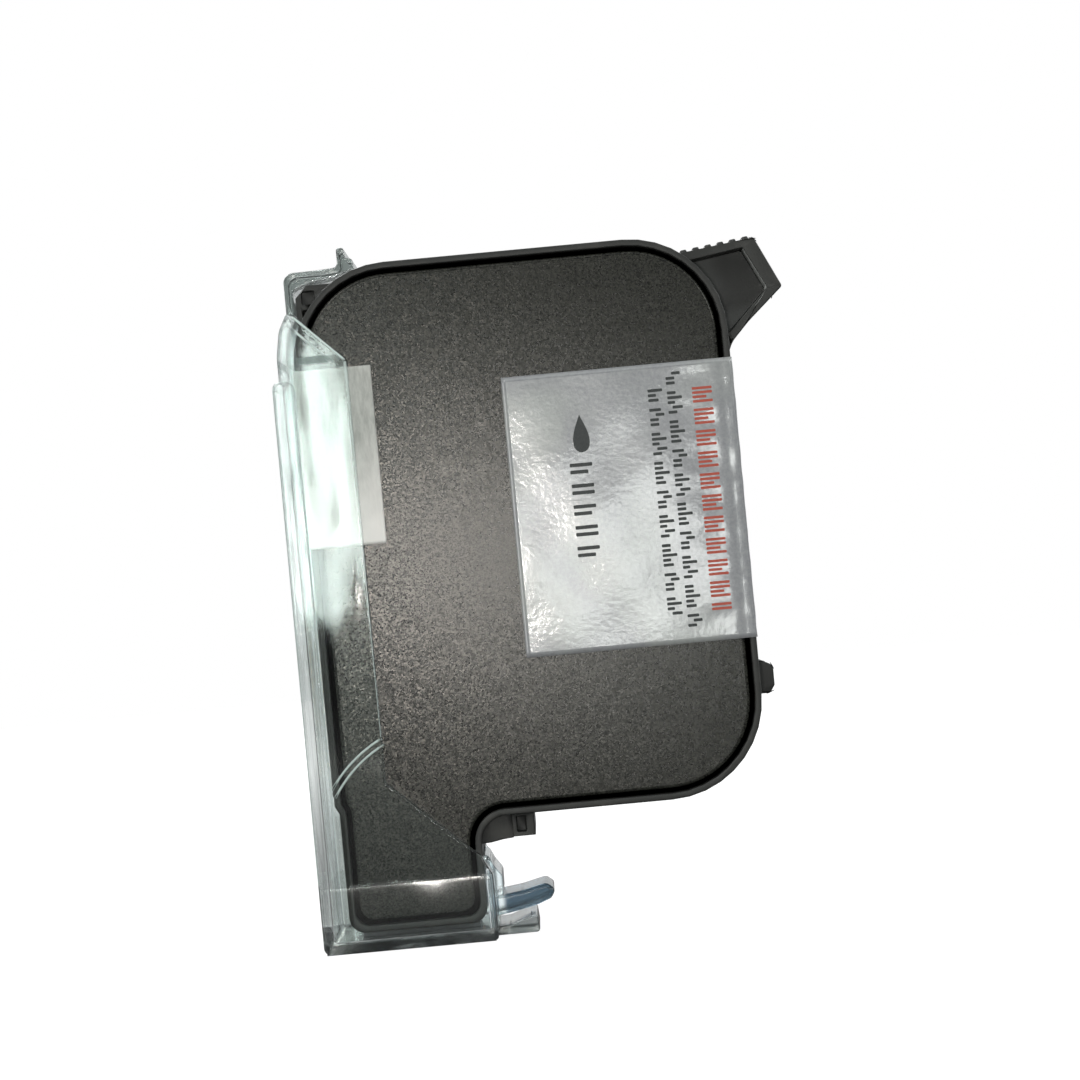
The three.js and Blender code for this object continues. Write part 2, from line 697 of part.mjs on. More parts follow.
const pen = new THREE.Group();
place("outer_frame", outerFrame(), materials.blackPlastic, pen);
place("inner_frame", innerFrame(), materials.liner, pen);
bothNearAndFar("side_cover", nearSideCover(), materials.coatedCover, pen);
bothNearAndFar("bag_film", nearBagFilm(), materials.film, pen);
bothNearAndFar("filter_screen", nearFilterScreen(), materials.steel, pen);
bothNearAndFar("piston_plate", nearPistonPlate(), materials.steel, pen);
bothNearAndFar("edge_guard", nearEdgeGuard(), materials.guard, pen);
place("bow_spring", bowSpring(), materials.steel, pen);
place("fill_port_ball", fillPortBall(), materials.steel, pen);
place("flex_circuit", flexCircuit(), materials.polyimide, pen);
place("printhead_die", printheadDie(), materials.silicon, pen);
place("contact_side_die_bead", dieBead(-6.4), materials.encapsulant, pen);
place("grip_side_die_bead", dieBead(6.4), materials.encapsulant, pen);
place("side_label", sideLabel(), materials.label, pen);
place("seal_strip", sealStrip(), materials.paper, pen);

const clip = new THREE.Group();
place("clip_shell", clipShell(), materials.clearPlastic, clip);
place("clip_top_hook", clipTopHook(), materials.clearPlastic, clip);
place("clip_release_latch", clipReleaseLatch(), materials.clearPlastic, clip);
place("nozzle_seal_pad", nozzleSealPad(), materials.elastomer, clip);

pen.position.z = -CLIP_FLOOR;
clip.position.z = -CLIP_FLOOR;
cartridge.add(pen, clip);

export default cartridge;
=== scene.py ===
import math

import bmesh
import bpy
from mathutils import Matrix, Vector


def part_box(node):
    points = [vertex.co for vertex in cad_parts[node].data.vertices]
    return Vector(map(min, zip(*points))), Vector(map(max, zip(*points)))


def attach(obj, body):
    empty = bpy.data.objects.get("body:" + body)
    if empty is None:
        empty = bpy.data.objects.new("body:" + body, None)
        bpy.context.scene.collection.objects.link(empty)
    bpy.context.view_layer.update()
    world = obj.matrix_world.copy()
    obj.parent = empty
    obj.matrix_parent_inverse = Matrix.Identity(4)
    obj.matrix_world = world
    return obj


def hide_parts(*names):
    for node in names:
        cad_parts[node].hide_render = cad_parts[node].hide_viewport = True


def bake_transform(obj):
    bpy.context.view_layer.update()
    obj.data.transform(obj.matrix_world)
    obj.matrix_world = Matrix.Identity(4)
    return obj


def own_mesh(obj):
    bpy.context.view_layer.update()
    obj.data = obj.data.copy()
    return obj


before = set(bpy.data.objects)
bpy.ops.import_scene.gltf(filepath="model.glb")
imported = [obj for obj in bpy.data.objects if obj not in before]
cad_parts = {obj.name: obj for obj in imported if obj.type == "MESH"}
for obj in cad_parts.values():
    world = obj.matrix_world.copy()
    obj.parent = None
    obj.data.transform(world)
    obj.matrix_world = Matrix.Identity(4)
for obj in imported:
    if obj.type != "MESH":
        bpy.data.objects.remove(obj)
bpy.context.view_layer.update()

MM = 0.001  # one millimetre in metres
NOZZLE_FACE = 1.9  # its height over the clip's base, which stands on Z = 0

# -------------------- sizes read from the frame

# Everything below is drawn in millimetres from the centre of the nozzle face, as the CAD is.


def at(x, y, z):
    """A drawn point's place in the frame, in metres."""
    return Vector((x, y, z + NOZZLE_FACE)) * MM


def box_mm(node):
    """The lowest and highest corners of a CAD node, in the drawing's millimetres."""
    rise = Vector((0, 0, NOZZLE_FACE))
    low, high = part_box(node)
    return low / MM - rise, high / MM - rise


COVER_LOW, COVER_HIGH = box_mm("near_side_cover")
LABEL_LOW, LABEL_HIGH = box_mm("side_label")
STRIP_LOW, STRIP_HIGH = box_mm("seal_strip")
CLIP_LOW, CLIP_HIGH = box_mm("clip_shell")
HOOK_LOW, HOOK_HIGH = box_mm("clip_top_hook")
FLEX_LOW, FLEX_HIGH = box_mm("flex_circuit")
FILM_LOW, FILM_HIGH = box_mm("near_bag_film")
PLATE_LOW, PLATE_HIGH = box_mm("near_piston_plate")
SPRING_LOW, SPRING_HIGH = box_mm("bow_spring")
HALF_THICKNESS = box_mm("outer_frame")[1].y
LATCH_HALF = box_mm("clip_release_latch")[1].y

# The rest of the drawing's sizes, in millimetres.
RECESS_FLOOR = 10.05  # the floor under the covers' edges, from the middle plane
COVER_INSET = 1.6  # frame outline to cover outline
BODY_LEFT = COVER_LOW.x - COVER_INSET
BODY_RIGHT = COVER_HIGH.x + COVER_INSET
BODY_TOP = COVER_HIGH.z + COVER_INSET
SNOUT_BOTTOM = COVER_LOW.z - COVER_INSET
BODY_RADIUS = 11.3
GRIP_WEB = 5.5  # the thin web in the finger grip, from the middle plane
GRIP_START = 37  # where the web starts at the body
GRIP_WALL = 43.7  # the inner face of the grip's outer wall

CLIP_WALL = 1.0
INNER_HALF = 11.9  # half the clear width between the clip's wings
OUTER_HALF = INNER_HALF + CLIP_WALL
BACK = CLIP_LOW.x
FLOOR = CLIP_LOW.z
FLOOR_TOP = FLOOR + 1.1
WING_EDGE = -2.4
CHANNEL_TOP = 64.2
NECK_TOP = CLIP_HIGH.z
CATCH_X = 8.0
COLLAR_TOP = 5.8

SHEET_GAP = 0.03  # from the rims to the label and the paper strip
LABEL_THICKNESS = 0.06
PAPER_THICKNESS = 0.09
PRINT_GAP = 0.012  # from the label's face to the middle of its print

# The frame's outline, corner by corner: x, z, radius.
OUTLINE = [
    (BODY_LEFT + 0.5, SNOUT_BOTTOM, 1.8),
    (BODY_LEFT + 16.5, SNOUT_BOTTOM, 1.8),
    (BODY_LEFT + 16.5, SNOUT_BOTTOM + 12, 3),
    (BODY_RIGHT, SNOUT_BOTTOM + 12, BODY_RADIUS),
    (BODY_RIGHT, BODY_TOP, BODY_RADIUS),
    (BODY_LEFT, BODY_TOP, BODY_RADIUS),
    (BODY_LEFT, SNOUT_BOTTOM + 14.8, 0.5),
    (BODY_LEFT + 0.5, SNOUT_BOTTOM + 13.8, 0.5),
]

# -------------------- outlines


def rounded(corners, steps=10):
    """Points of a closed outline with each corner rounded, every corner giving steps + 1 points."""
    points = []
    for i, (x, z, radius) in enumerate(corners):
        corner = Vector((x, z))
        before = (Vector(corners[i - 1][:2]) - corner).normalized()
        after = (Vector(corners[(i + 1) % len(corners)][:2]) - corner).normalized()
        half = math.acos(max(-1.0, min(1.0, before.dot(after)))) / 2
        centre = corner + (before + after).normalized() * (radius / math.sin(half))
        start = corner + before * (radius / math.tan(half)) - centre
        end = corner + after * (radius / math.tan(half)) - centre
        sweep = math.atan2(start.x * end.y - start.y * end.x, start.dot(end))
        for k in range(steps + 1):
            turned = Matrix.Rotation(sweep * k / steps, 2) @ start
            points.append(tuple(centre + turned))
    return points


def inset(corners, distance, least=0.01):
    """The same corners moved inwards: outside corners tighten down to the least radius."""
    moved = []
    for i, (x, z, radius) in enumerate(corners):
        corner = Vector((x, z))
        arriving = (corner - Vector(corners[i - 1][:2])).normalized()
        leaving = (Vector(corners[(i + 1) % len(corners)][:2]) - corner).normalized()
        normals = Vector((-arriving.y, arriving.x)), Vector((-leaving.y, leaving.x))
        corner += (normals[0] + normals[1]) * (distance / (1 + normals[0].dot(normals[1])))
        turn = 1 if arriving.x * leaving.y - arriving.y * leaving.x > 0 else -1
        moved.append((corner.x, corner.y, max(radius - turn * distance, least)))
    return moved


def with_radius(points, radius):
    """Corners that all have one radius, apart from those that give their own."""
    return [(p[0], p[1], p[2] if len(p) > 2 else radius) for p in points]


def rectangle(x0, z0, x1, z1, radius=0.01):
    return [(x0, z0, radius), (x1, z0, radius), (x1, z1, radius), (x0, z1, radius)]


# -------------------- meshes


def new_object(name, vertices, faces):
    """An object from drawn points, standing in its place in the frame."""
    mesh = bpy.data.meshes.new(name)
    mesh.from_pydata([at(*v) for v in vertices], [], faces)
    mesh.validate()
    obj = bpy.data.objects.new(name, mesh)
    bpy.context.scene.collection.objects.link(obj)
    return obj


def loft(name, rings, closed=True):
    """A solid through rings of as many points each, with a face over the first and the last."""
    count = len(rings[0])
    vertices = [point for ring in rings for point in ring]
    faces = []
    for r in range(len(rings) - 1):
        for i in range(count):
            j = (i + 1) % count
            a, b = r * count, (r + 1) * count
            faces.append((a + i, a + j, b + j, b + i))
    if closed:
        faces.append(tuple(reversed(range(count))))
        last = (len(rings) - 1) * count
        faces.append(tuple(range(last, last + count)))
    obj = new_object(name, vertices, faces)
    face_out(obj)
    return obj


def face_out(obj):
    """Turns every face of a closed mesh outwards."""
    edited = bmesh.new()
    edited.from_mesh(obj.data)
    bmesh.ops.recalc_face_normals(edited, faces=edited.faces)
    edited.to_mesh(obj.data)
    edited.free()


def slab(name, corners, y0, y1, edge=0.2, depth=None, steps=3, arc=10):
    """A plate between y0 and y1 with this outline in X and Z.

    Its rims are rounded by edge in the plane and by depth across it.
    """
    depth = edge if depth is None else depth
    rims = [math.pi / 2 * k / steps for k in range(steps + 1)]
    levels = [(edge * (1 - math.sin(t)), y0 + depth * (1 - math.cos(t))) for t in rims]
    levels += [(edge * (1 - math.sin(t)), y1 - depth * (1 - math.cos(t))) for t in reversed(rims)]
    rings = [[(x, y, z) for x, z in rounded(inset(corners, d), arc)] for d, y in levels]
    return loft(name, rings)


def boolean(target, tools, operation):
    """Joins each tool to the target or cuts it away, and removes the tools."""
    for tool in tools:
        modifier = target.modifiers.new("boolean", "BOOLEAN")
        modifier.operation = operation
        modifier.solver = "EXACT"
        modifier.object = tool
        evaluated = target.evaluated_get(bpy.context.evaluated_depsgraph_get())
        result = bpy.data.meshes.new_from_object(evaluated)
        target.modifiers.clear()
        target.data = result
        bpy.data.objects.remove(tool)
    return target


def shade(obj, material, sharp=35):
    """Smooth shading with creases above an angle in degrees, and one material."""
    edited = bmesh.new()
    edited.from_mesh(obj.data)
    bmesh.ops.remove_doubles(edited, verts=edited.verts, dist=0.0005 * MM)
    for face in edited.faces:
        face.smooth = True
    for edge in edited.edges:
        edge.smooth = len(edge.link_faces) == 2 and edge.calc_face_angle(0) < math.radians(sharp)
    edited.to_mesh(obj.data)
    edited.free()
    weighted = obj.modifiers.new("flat faces stay flat", "WEIGHTED_NORMAL")
    weighted.keep_sharp = True
    obj.data.materials.clear()
    obj.data.materials.append(material)


# -------------------- materials


class Graph:
    """The shader nodes of a material or a world, with short calls for the ones used here.

    Sizes are in millimetres.
    """

    def __init__(self, owner):
        self.owner = owner
        owner.use_nodes = True
        self.tree = owner.node_tree
        self.tree.nodes.clear()
        world = isinstance(owner, bpy.types.World)
        self.output = self.add("ShaderNodeOutputWorld" if world else "ShaderNodeOutputMaterial")
        self.place = self.add("ShaderNodeTexCoord").outputs["Generated" if world else "Object"]

    def add(self, kind, inputs=None, **settings):
        node = self.tree.nodes.new(kind)
        for key, value in settings.items():
            setattr(node, key, value)
        for key, value in (inputs or {}).items():
            self.put(node.inputs[key], value)
        return node

    def put(self, socket, value):
        if isinstance(value, bpy.types.NodeSocket):
            self.tree.links.new(value, socket)
        elif socket.type == "RGBA" and len(value) == 3:
            socket.default_value = (*value, 1)
        else:
            socket.default_value = value

    def noise(self, size, detail=2.0, roughness=0.5, stretch=(1, 1, 1), distortion=0.0):
        place = self.add("ShaderNodeMapping", {"Vector": self.place, "Scale": stretch}).outputs[0]
        settings = {"Vector": place, "Scale": 1 / (size * MM), "Detail": detail, "Roughness": roughness}
        return self.add("ShaderNodeTexNoise", {**settings, "Distortion": distortion}).outputs["Fac"]

    def cells(self, size, output="Distance"):
        settings = {"Vector": self.place, "Scale": 1 / (size * MM)}
        return self.add("ShaderNodeTexVoronoi", settings).outputs[output]

    def axis(self, name):
        """The place along X, Y or Z, in the drawing's millimetres."""
        parts = self.add("ShaderNodeSeparateXYZ", {"Vector": self.place})
        millimetres = self.math("MULTIPLY", parts.outputs[name], 1 / MM)
        return self.math("SUBTRACT", millimetres, NOZZLE_FACE) if name == "Z" else millimetres

    def facing(self, name):
        """The X, Y or Z part of the surface's own normal."""
        normal = self.add("ShaderNodeNewGeometry").outputs["Normal"]
        return self.add("ShaderNodeSeparateXYZ", {"Vector": normal}).outputs[name]

    def faces_side(self):
        """1 where the surface faces along Y, 0 where it faces along X or Z."""
        return self.between(self.math("ABSOLUTE", self.facing("Y")), 0.5, 0.85)

    def math(self, operation, a, b=0.0, clamp=False):
        node = self.add("ShaderNodeMath", operation=operation, use_clamp=clamp)
        self.put(node.inputs[0], a)
        self.put(node.inputs[1], b)
        return node.outputs[0]

    def between(self, value, low, high):
        """0 below low, 1 above high, and smooth in between."""
        settings = {"Value": value, "From Min": low, "From Max": high}
        node = self.add("ShaderNodeMapRange", settings, interpolation_type="SMOOTHSTEP")
        return node.outputs["Result"]

    def spread(self, value, low, high):
        """A value from 0 to 1 stretched over low to high."""
        settings = {"Value": value, "To Min": low, "To Max": high}
        return self.add("ShaderNodeMapRange", settings).outputs["Result"]

    def vector(self, operation, a, b=None):
        node = self.add("ShaderNodeVectorMath", operation=operation)
        self.put(node.inputs[0], a)
        if b is not None:
            self.put(node.inputs["Scale" if operation == "SCALE" else 1], b)
        return node.outputs[0]

    def mix(self, factor, a, b):
        node = self.add("ShaderNodeMix", data_type="RGBA")
        self.put(node.inputs["Factor"], factor)
        self.put(node.inputs["A"], a)
        self.put(node.inputs["B"], b)
        return node.outputs["Result"]

    def bump(self, height, distance, strength=1.0, normal=None):
        settings = {"Height": height, "Distance": distance * MM, "Strength": strength}
        node = self.add("ShaderNodeBump", settings)
        if normal is not None:
            self.put(node.inputs["Normal"], normal)
        return node.outputs["Normal"]

    def surface(self, **inputs):
        """A Principled shader. Its inputs are named in lower case, with underscores for spaces."""
        capitals = {"ior": "IOR", "specular_ior_level": "Specular IOR Level"}
        named = {capitals.get(k, k.replace("_", " ").title()): value for k, value in inputs.items()}
        return self.add("ShaderNodeBsdfPrincipled", named).outputs[0]

    def blend_shaders(self, factor, a, b):
        node = self.add("ShaderNodeMixShader")
        self.put(node.inputs[0], factor)
        self.put(node.inputs[1], a)
        self.put(node.inputs[2], b)
        return node.outputs[0]

    def done(self, shader):
        self.tree.links.new(shader, self.output.inputs["Surface"])
        return self.owner


def material(name):
    """The empty graph of a new material."""
    return Graph(bpy.data.materials.new(name))


def black_plastic():
    """Satin black moulding: faint grain, brownish scuffs, and painted shade on the recess's floor,
    black and without reflections.
    """
    g = material("black_plastic")
    out = g.math("ABSOLUTE", g.axis("Y"))
    # Painted shade: the floor under the covers' edges is made black and loses its reflections.
    off_floor = g.between(g.math("ABSOLUTE", g.math("SUBTRACT", out, RECESS_FLOOR)), 0.03, 0.1)
    clear_of_seam_shade = g.math("MAXIMUM", off_floor, g.math("SUBTRACT", 1.0, g.faces_side()))
    scuffs = g.between(g.noise(6, 4, 0.6), 0.5, 0.75)
    colour = g.mix(scuffs, (0.022, 0.023, 0.021), (0.047, 0.046, 0.041))
    # Painted sheen and a painted highlight in the grip's hollow sides.
    colour = grip_painted_sheen(g, colour)
    shader = g.surface(
        base_color=g.mix(clear_of_seam_shade, (0, 0, 0), colour),
        roughness=g.spread(g.noise(3, 3), 0.34, 0.5),
        normal=g.bump(g.noise(0.22, 3), 0.02, 0.5),
        specular_ior_level=g.math("MULTIPLY", clear_of_seam_shade, 0.5),
    )
    return g.done(shader)


def grip_painted_sheen(g, colour):
    """The grip's hollow sides: a painted sheen, paler near the body and towards the bottom, and a
    painted highlight on the inner faces of their outer walls.
    """
    x, z = g.axis("X"), g.axis("Z")
    out = g.math("ABSOLUTE", g.axis("Y"))
    # Painted sheen on the web, paler near the body and towards the bottom.
    web = g.math("MULTIPLY", g.between(x, GRIP_START - 0.5, GRIP_START), g.between(z, 64, 65))
    on_web = g.between(out, GRIP_WEB + 0.1, GRIP_WEB + 0.05)
    web = g.math("MULTIPLY", g.math("MULTIPLY", web, on_web), g.faces_side())
    near_body = g.between(x, GRIP_START + 5.5, GRIP_START + 2)
    rubbed_and_sheen = g.math("MAXIMUM", near_body, g.between(z, 69, 66.5))
    painted_sheen = g.math("MULTIPLY", web, g.math("MULTIPLY", rubbed_and_sheen, 0.7))
    colour = g.mix(painted_sheen, colour, (0.13, 0.138, 0.133))
    # Painted highlight: a pale stripe on the inner face of the grip's outer wall.
    faces_body = g.math("LESS_THAN", g.facing("X"), -0.75)
    wall = g.math("MULTIPLY", faces_body, g.between(x, GRIP_WALL - 0.2, GRIP_WALL))
    wall = g.math("MULTIPLY", wall, g.between(out, GRIP_WEB + 0.05, GRIP_WEB + 0.2))
    wall = g.math("MULTIPLY", wall, g.between(z, 75, 74.8))
    return g.mix(g.math("MULTIPLY", wall, 0.9), colour, (0.60, 0.62, 0.60))


def facets(g, size, tilt):
    """Flat spots of one size, each leaning its own way: their normal, and a random number each."""
    random = g.cells(size, "Color")
    lean = g.vector("SCALE", g.vector("SUBTRACT", random, (0.5, 0.5, 0.5)), tilt)
    level = g.add("ShaderNodeSeparateColor", {"Color": random}).outputs[0]
    normal = g.add("ShaderNodeNewGeometry").outputs["Normal"]
    return g.vector("NORMALIZE", g.vector("ADD", normal, lean)), level


def coated_metal():
    """Fine textured coating in dark warm grey, with metallic flakes that catch the light singly."""
    g = material("coated_metal")
    grain_normal, grain = facets(g, 0.14, 0.04)
    flake_normal, chosen = facets(g, 0.14, 0.06)
    patches = g.between(g.noise(14, 3), 0.35, 0.7)
    colour = g.mix(grain, (0.002, 0.0022, 0.0017), (0.042, 0.0435, 0.036))
    colour = g.mix(g.math("MULTIPLY", patches, 0.25), colour, (0.022, 0.022, 0.018))
    coat = g.surface(base_color=colour, roughness=0.195, normal=grain_normal, specular_ior_level=0.25)
    flake = g.surface(base_color=(0.46, 0.41, 0.36), metallic=1.0, roughness=0.16, normal=flake_normal)
    amount = g.math("MULTIPLY", g.between(chosen, 0.2, 1.0), 0.034)
    return g.done(g.blend_shaders(amount, coat, flake))


def label_film():
    """Glossy pearl film, mottled from lilac grey to greenish white, with a fine dimpled surface."""
    g = material("label_film")
    large = g.noise(17, 2, 0.5, distortion=0.6)
    mottle = g.between(large, 0.42, 0.6)
    colour = g.mix(mottle, (0.29, 0.295, 0.31), (0.37, 0.385, 0.375))
    fine = g.between(g.noise(0.5, 3, 0.7), 0.35, 0.65)
    colour = g.mix(g.math("MULTIPLY", fine, 0.16), colour, (0.60, 0.63, 0.61))
    dimples = g.math("ADD", g.noise(0.45, 2), g.math("MULTIPLY", g.noise(2.4, 2), 1.5))
    roughness = g.spread(g.noise(5, 2), 0.2, 0.32)
    shader = g.surface(
        base_color=colour,
        roughness=roughness,
        normal=g.bump(dimples, 0.03, 0.5),
        coat_weight=1.0,
        coat_roughness=0.1,
        coat_normal=g.bump(g.noise(0.6, 3), 0.02, 0.5),
    )
    return g.done(shader)


def seal_paper():
    """Thin white paper with visible fibres and soft creases, greyer towards its upper end: a painted
    highlight makes it paler and warmer lower down.
    """
    g = material("seal_paper")
    fibres = g.noise(0.5, 4, 0.7, stretch=(1, 1, 0.25))
    cloud = g.noise(6, 3)
    colour = g.mix(g.between(fibres, 0.3, 0.7), (0.40, 0.41, 0.38), (0.56, 0.57, 0.53))
    # Painted highlight: paler and warmer towards the lower end, in patches.
    painted_highlight = g.math("ADD", g.between(g.axis("Z"), 60, 46), g.spread(cloud, -0.5, 0.5), clamp=True)
    colour = g.mix(g.math("MULTIPLY", painted_highlight, 0.95), colour, (0.95, 0.925, 0.88))
    height = g.math("ADD", fibres, g.math("MULTIPLY", cloud, 2.5))
    return g.done(g.surface(base_color=colour, roughness=0.38, normal=g.bump(height, 0.06, 0.6)))


def clear_tint_and_shade(g, x, z):
    """The colour of the thick parts: a cool tint, with painted shade in the lever, foot and flange, and
    greyer in the neck.
    """
    tint_and_shade = g.mix(g.noise(20), (0.88, 0.94, 0.95), (0.80, 0.87, 0.89))
    past_latch = g.between(x, CATCH_X + 1.4, CATCH_X + 2.2)
    # Painted shade: the lever is dark steel blue.
    lever = g.math("MULTIPLY", past_latch, g.between(z, -0.2, 0.2))
    tint_and_shade = g.mix(lever, tint_and_shade, (0.10, 0.155, 0.20))
    tint_and_shade = g.mix(g.between(z, NECK_TOP - 2, NECK_TOP), tint_and_shade, (0.42, 0.45, 0.44))
    # Painted shade: dark streaks in the foot.
    shadows = g.between(g.noise(1.2, 3, 0.6, stretch=(0.25, 1, 1)), 0.5, 0.72)
    foot = g.mix(shadows, (0.04, 0.043, 0.043), (0.66, 0.69, 0.69))
    tint_and_shade = g.mix(g.between(z, -0.5, -0.9), tint_and_shade, foot)
    # Painted shade on the flange past the latch.
    flange = g.math("MULTIPLY", past_latch, g.between(z, 0.2, -0.2))
    return g.mix(flange, tint_and_shade, (0.22, 0.24, 0.24))


def wall_tint_and_shade(g, x, z, wing):
    """The colour of the thin walls: painted highlight streaks along the channel's sides, darker low
    down by painted shade, and a dim band of painted shade by the snout.
    """
    # Painted highlight streaks on the channel's sides, with painted shade below Z 32 to 38.
    streaks = g.between(g.noise(0.5, 3, 0.7, stretch=(1, 1, 0.03)), 0.4, 0.6)
    dark = g.mix(g.between(z, 32, 38), (0.76, 0.78, 0.77), (0.92, 0.97, 0.955))
    channel = g.mix(streaks, dark, (0.98, 1.0, 0.99))
    tint_and_shade = g.mix(wing, channel, (0.95, 0.975, 0.97))
    # Painted shade: a dim band by the snout.
    painted_shade_band = g.math("MULTIPLY", g.between(x, BACK + 2.4, BACK + 2.7), g.between(z, 16, 13))
    painted_shade_band = g.math("MULTIPLY", painted_shade_band, g.between(x, BACK + 3.8, BACK + 3.5))
    return g.mix(painted_shade_band, tint_and_shade, (0.62, 0.64, 0.63))


def clear_pane(g, colour, roughness, normal):
    """A pane that lets the picture behind straight through, with reflections on its face."""
    through = g.add("ShaderNodeBsdfTransparent", {"Color": colour}).outputs[0]
    gloss = g.add("ShaderNodeBsdfGlossy", {"Roughness": roughness, "Normal": normal}).outputs[0]
    fresnel = g.add("ShaderNodeFresnel", {"IOR": 1.5, "Normal": normal}).outputs[0]
    return g.blend_shaders(fresnel, through, gloss)


def pane_share(g, x, z, wing):
    """How much of a thin wall is a pane: all seen from the front, none seen edge on or in the foot."""
    facing = g.add("ShaderNodeLayerWeight", {"Blend": 0.5}).outputs["Facing"]
    edge_on = g.math("SUBTRACT", facing, g.spread(wing, 0.72, 0.06))
    flat = g.math("SUBTRACT", 1.0, g.between(edge_on, 0.0, 0.25))
    inside = g.math("MULTIPLY", g.spread(wing, 0.85, 1.0), g.between(z, -0.9, -0.5))
    inside = g.math("MULTIPLY", inside, g.math("LESS_THAN", x, CATCH_X))
    return g.math("MULTIPLY", flat, inside)


def wing_highlights_and_shade(g, shader, x, z, wing):
    """The beads that stand out from the wings, painted pale as a highlight, and a band of painted dark
    green shade near their top.
    """
    out = g.math("ABSOLUTE", g.axis("Y"))
    # Painted highlight: the beads are pale, more so near the top and less by the wing's edge.
    bead = g.math("MULTIPLY", g.between(out, OUTER_HALF + 0.02, OUTER_HALF + 0.12), wing)
    bead = g.math("MULTIPLY", bead, g.between(z, COLLAR_TOP + 0.2, COLLAR_TOP + 0.5))
    faint = g.math("MULTIPLY", g.between(x, WING_EDGE - 0.45, WING_EDGE - 0.4), 0.35)
    highlight_near_top = g.math("MULTIPLY", g.between(z, 60, 64), 0.25)
    amount = g.math("SUBTRACT", g.math("ADD", highlight_near_top, 0.65), faint)
    pale = g.surface(base_color=(0.80, 0.94, 0.90), roughness=0.25, coat_weight=0.5)
    shader = g.blend_shaders(g.math("MULTIPLY", bead, amount), shader, pale)
    # Painted shade: a dark green band across the wings near their top.
    green_band_shade = g.math("MULTIPLY", g.between(z, 65.85, 66.15), g.between(z, 66.95, 66.65))
    green_band_shade = g.math("MULTIPLY", green_band_shade, g.math("MULTIPLY", wing, g.between(x, -3.0, -5.0)))
    painted_green_shade = g.surface(base_color=(0.10, 0.16, 0.145), roughness=0.3)
    return g.blend_shaders(g.math("MULTIPLY", green_band_shade, 0.6), shader, painted_green_shade)


def clear_plastic(name, thin):
    """Clear moulded plastic: faint cool tint, slow flow waves, fine handling scratches.

    Thin walls seen from the front let the picture behind straight through. Everything else refracts.
    """
    g = material(name)
    x, z = g.axis("X"), g.axis("Z")
    waves = g.noise(9, 2, 0.4, stretch=(1, 1, 0.35))
    scratches = g.noise(0.9, 5, 0.8, stretch=(1, 1, 0.12))
    rubbed_and_sheen = g.between(scratches, 0.6, 0.8)
    normal = g.bump(g.math("ADD", waves, g.math("MULTIPLY", scratches, 0.012)), 0.4, 0.5)
    collar = g.math("MULTIPLY", g.between(z, COLLAR_TOP + 0.4, COLLAR_TOP + 0.1), 0.07)
    roughness = g.math("ADD", g.spread(rubbed_and_sheen, 0.04, 0.2), collar)
    tint_and_shade = clear_tint_and_shade(g, x, z)
    solid = g.surface(
        base_color=tint_and_shade, roughness=roughness, normal=normal, ior=1.5, transmission_weight=1.0
    )
    if thin:
        wing = g.between(x, BACK + 2.9, BACK + 3.4)
        wing = g.math("MAXIMUM", wing, g.math("SUBTRACT", 1.0, g.faces_side()))
        pane = clear_pane(g, wall_tint_and_shade(g, x, z, wing), roughness, normal)
        shader = g.blend_shaders(pane_share(g, x, z, wing), solid, pane)
        shader = wing_highlights_and_shade(g, shader, x, z, wing)
    else:
        shader = g.blend_shaders(0.3, solid, clear_pane(g, tint_and_shade, roughness, normal))
    see_through = g.add("ShaderNodeBsdfTransparent", {"Color": (0.96, 0.98, 0.975)}).outputs[0]
    rays = g.add("ShaderNodeLightPath").outputs
    passing = g.math("MAXIMUM", rays["Is Shadow Ray"], rays["Is Diffuse Ray"])
    return g.done(g.blend_shaders(passing, shader, see_through))


def polyimide():
    """Amber film with copper traces under it. The pads that stand proud of it are gold plated."""
    g = material("polyimide")
    across = g.math("ABSOLUTE", g.axis("Y"))
    wander = g.math("MULTIPLY", g.noise(6, 1), 1.2)
    stripes = g.math("SINE", g.math("MULTIPLY", g.math("ADD", across, wander), 2 * math.pi / 0.42))
    colour = g.mix(g.between(stripes, -0.2, 0.3), (0.22, 0.070, 0.008), (0.46, 0.17, 0.025))
    cut_edge = g.between(across, FLEX_HIGH.y - 0.06, FLEX_HIGH.y - 0.01)
    colour = g.mix(cut_edge, colour, (0.02, 0.012, 0.006))
    film = g.surface(base_color=colour, roughness=g.spread(g.noise(3), 0.22, 0.38), coat_weight=0.4)
    gold = g.surface(
        base_color=g.mix(g.noise(0.4, 3), (0.75, 0.48, 0.16), (0.92, 0.66, 0.28)),
        roughness=g.spread(g.noise(0.5, 3), 0.18, 0.38),
        metallic=1.0,
    )
    proud = g.math("LESS_THAN", g.axis("X"), FLEX_LOW.x + 0.06)
    return g.done(g.blend_shaders(proud, film, gold))


def nozzle_plate():
    """Dull nickel plate with two fine columns of nozzles."""
    g = material("nozzle_plate")
    column = g.math("ABSOLUTE", g.math("SUBTRACT", g.math("ABSOLUTE", g.axis("Y")), 1.1))
    pitch = g.math("FRACT", g.math("MULTIPLY", g.axis("X"), 4))
    along = g.math("ABSOLUTE", g.math("SUBTRACT", pitch, 0.5))
    far = g.math("MAXIMUM", g.math("MULTIPLY", column, 10), g.math("MULTIPLY", along, 3))
    hole = g.math("LESS_THAN", far, 1.0)
    plate = g.mix(g.noise(0.6, 4), (0.30, 0.27, 0.20), (0.45, 0.41, 0.31))
    colour = g.mix(hole, plate, (0.02, 0.02, 0.02))
    roughness = g.spread(g.noise(1.5, 3), 0.25, 0.45)
    return g.done(g.surface(base_color=colour, metallic=0.8, roughness=roughness))


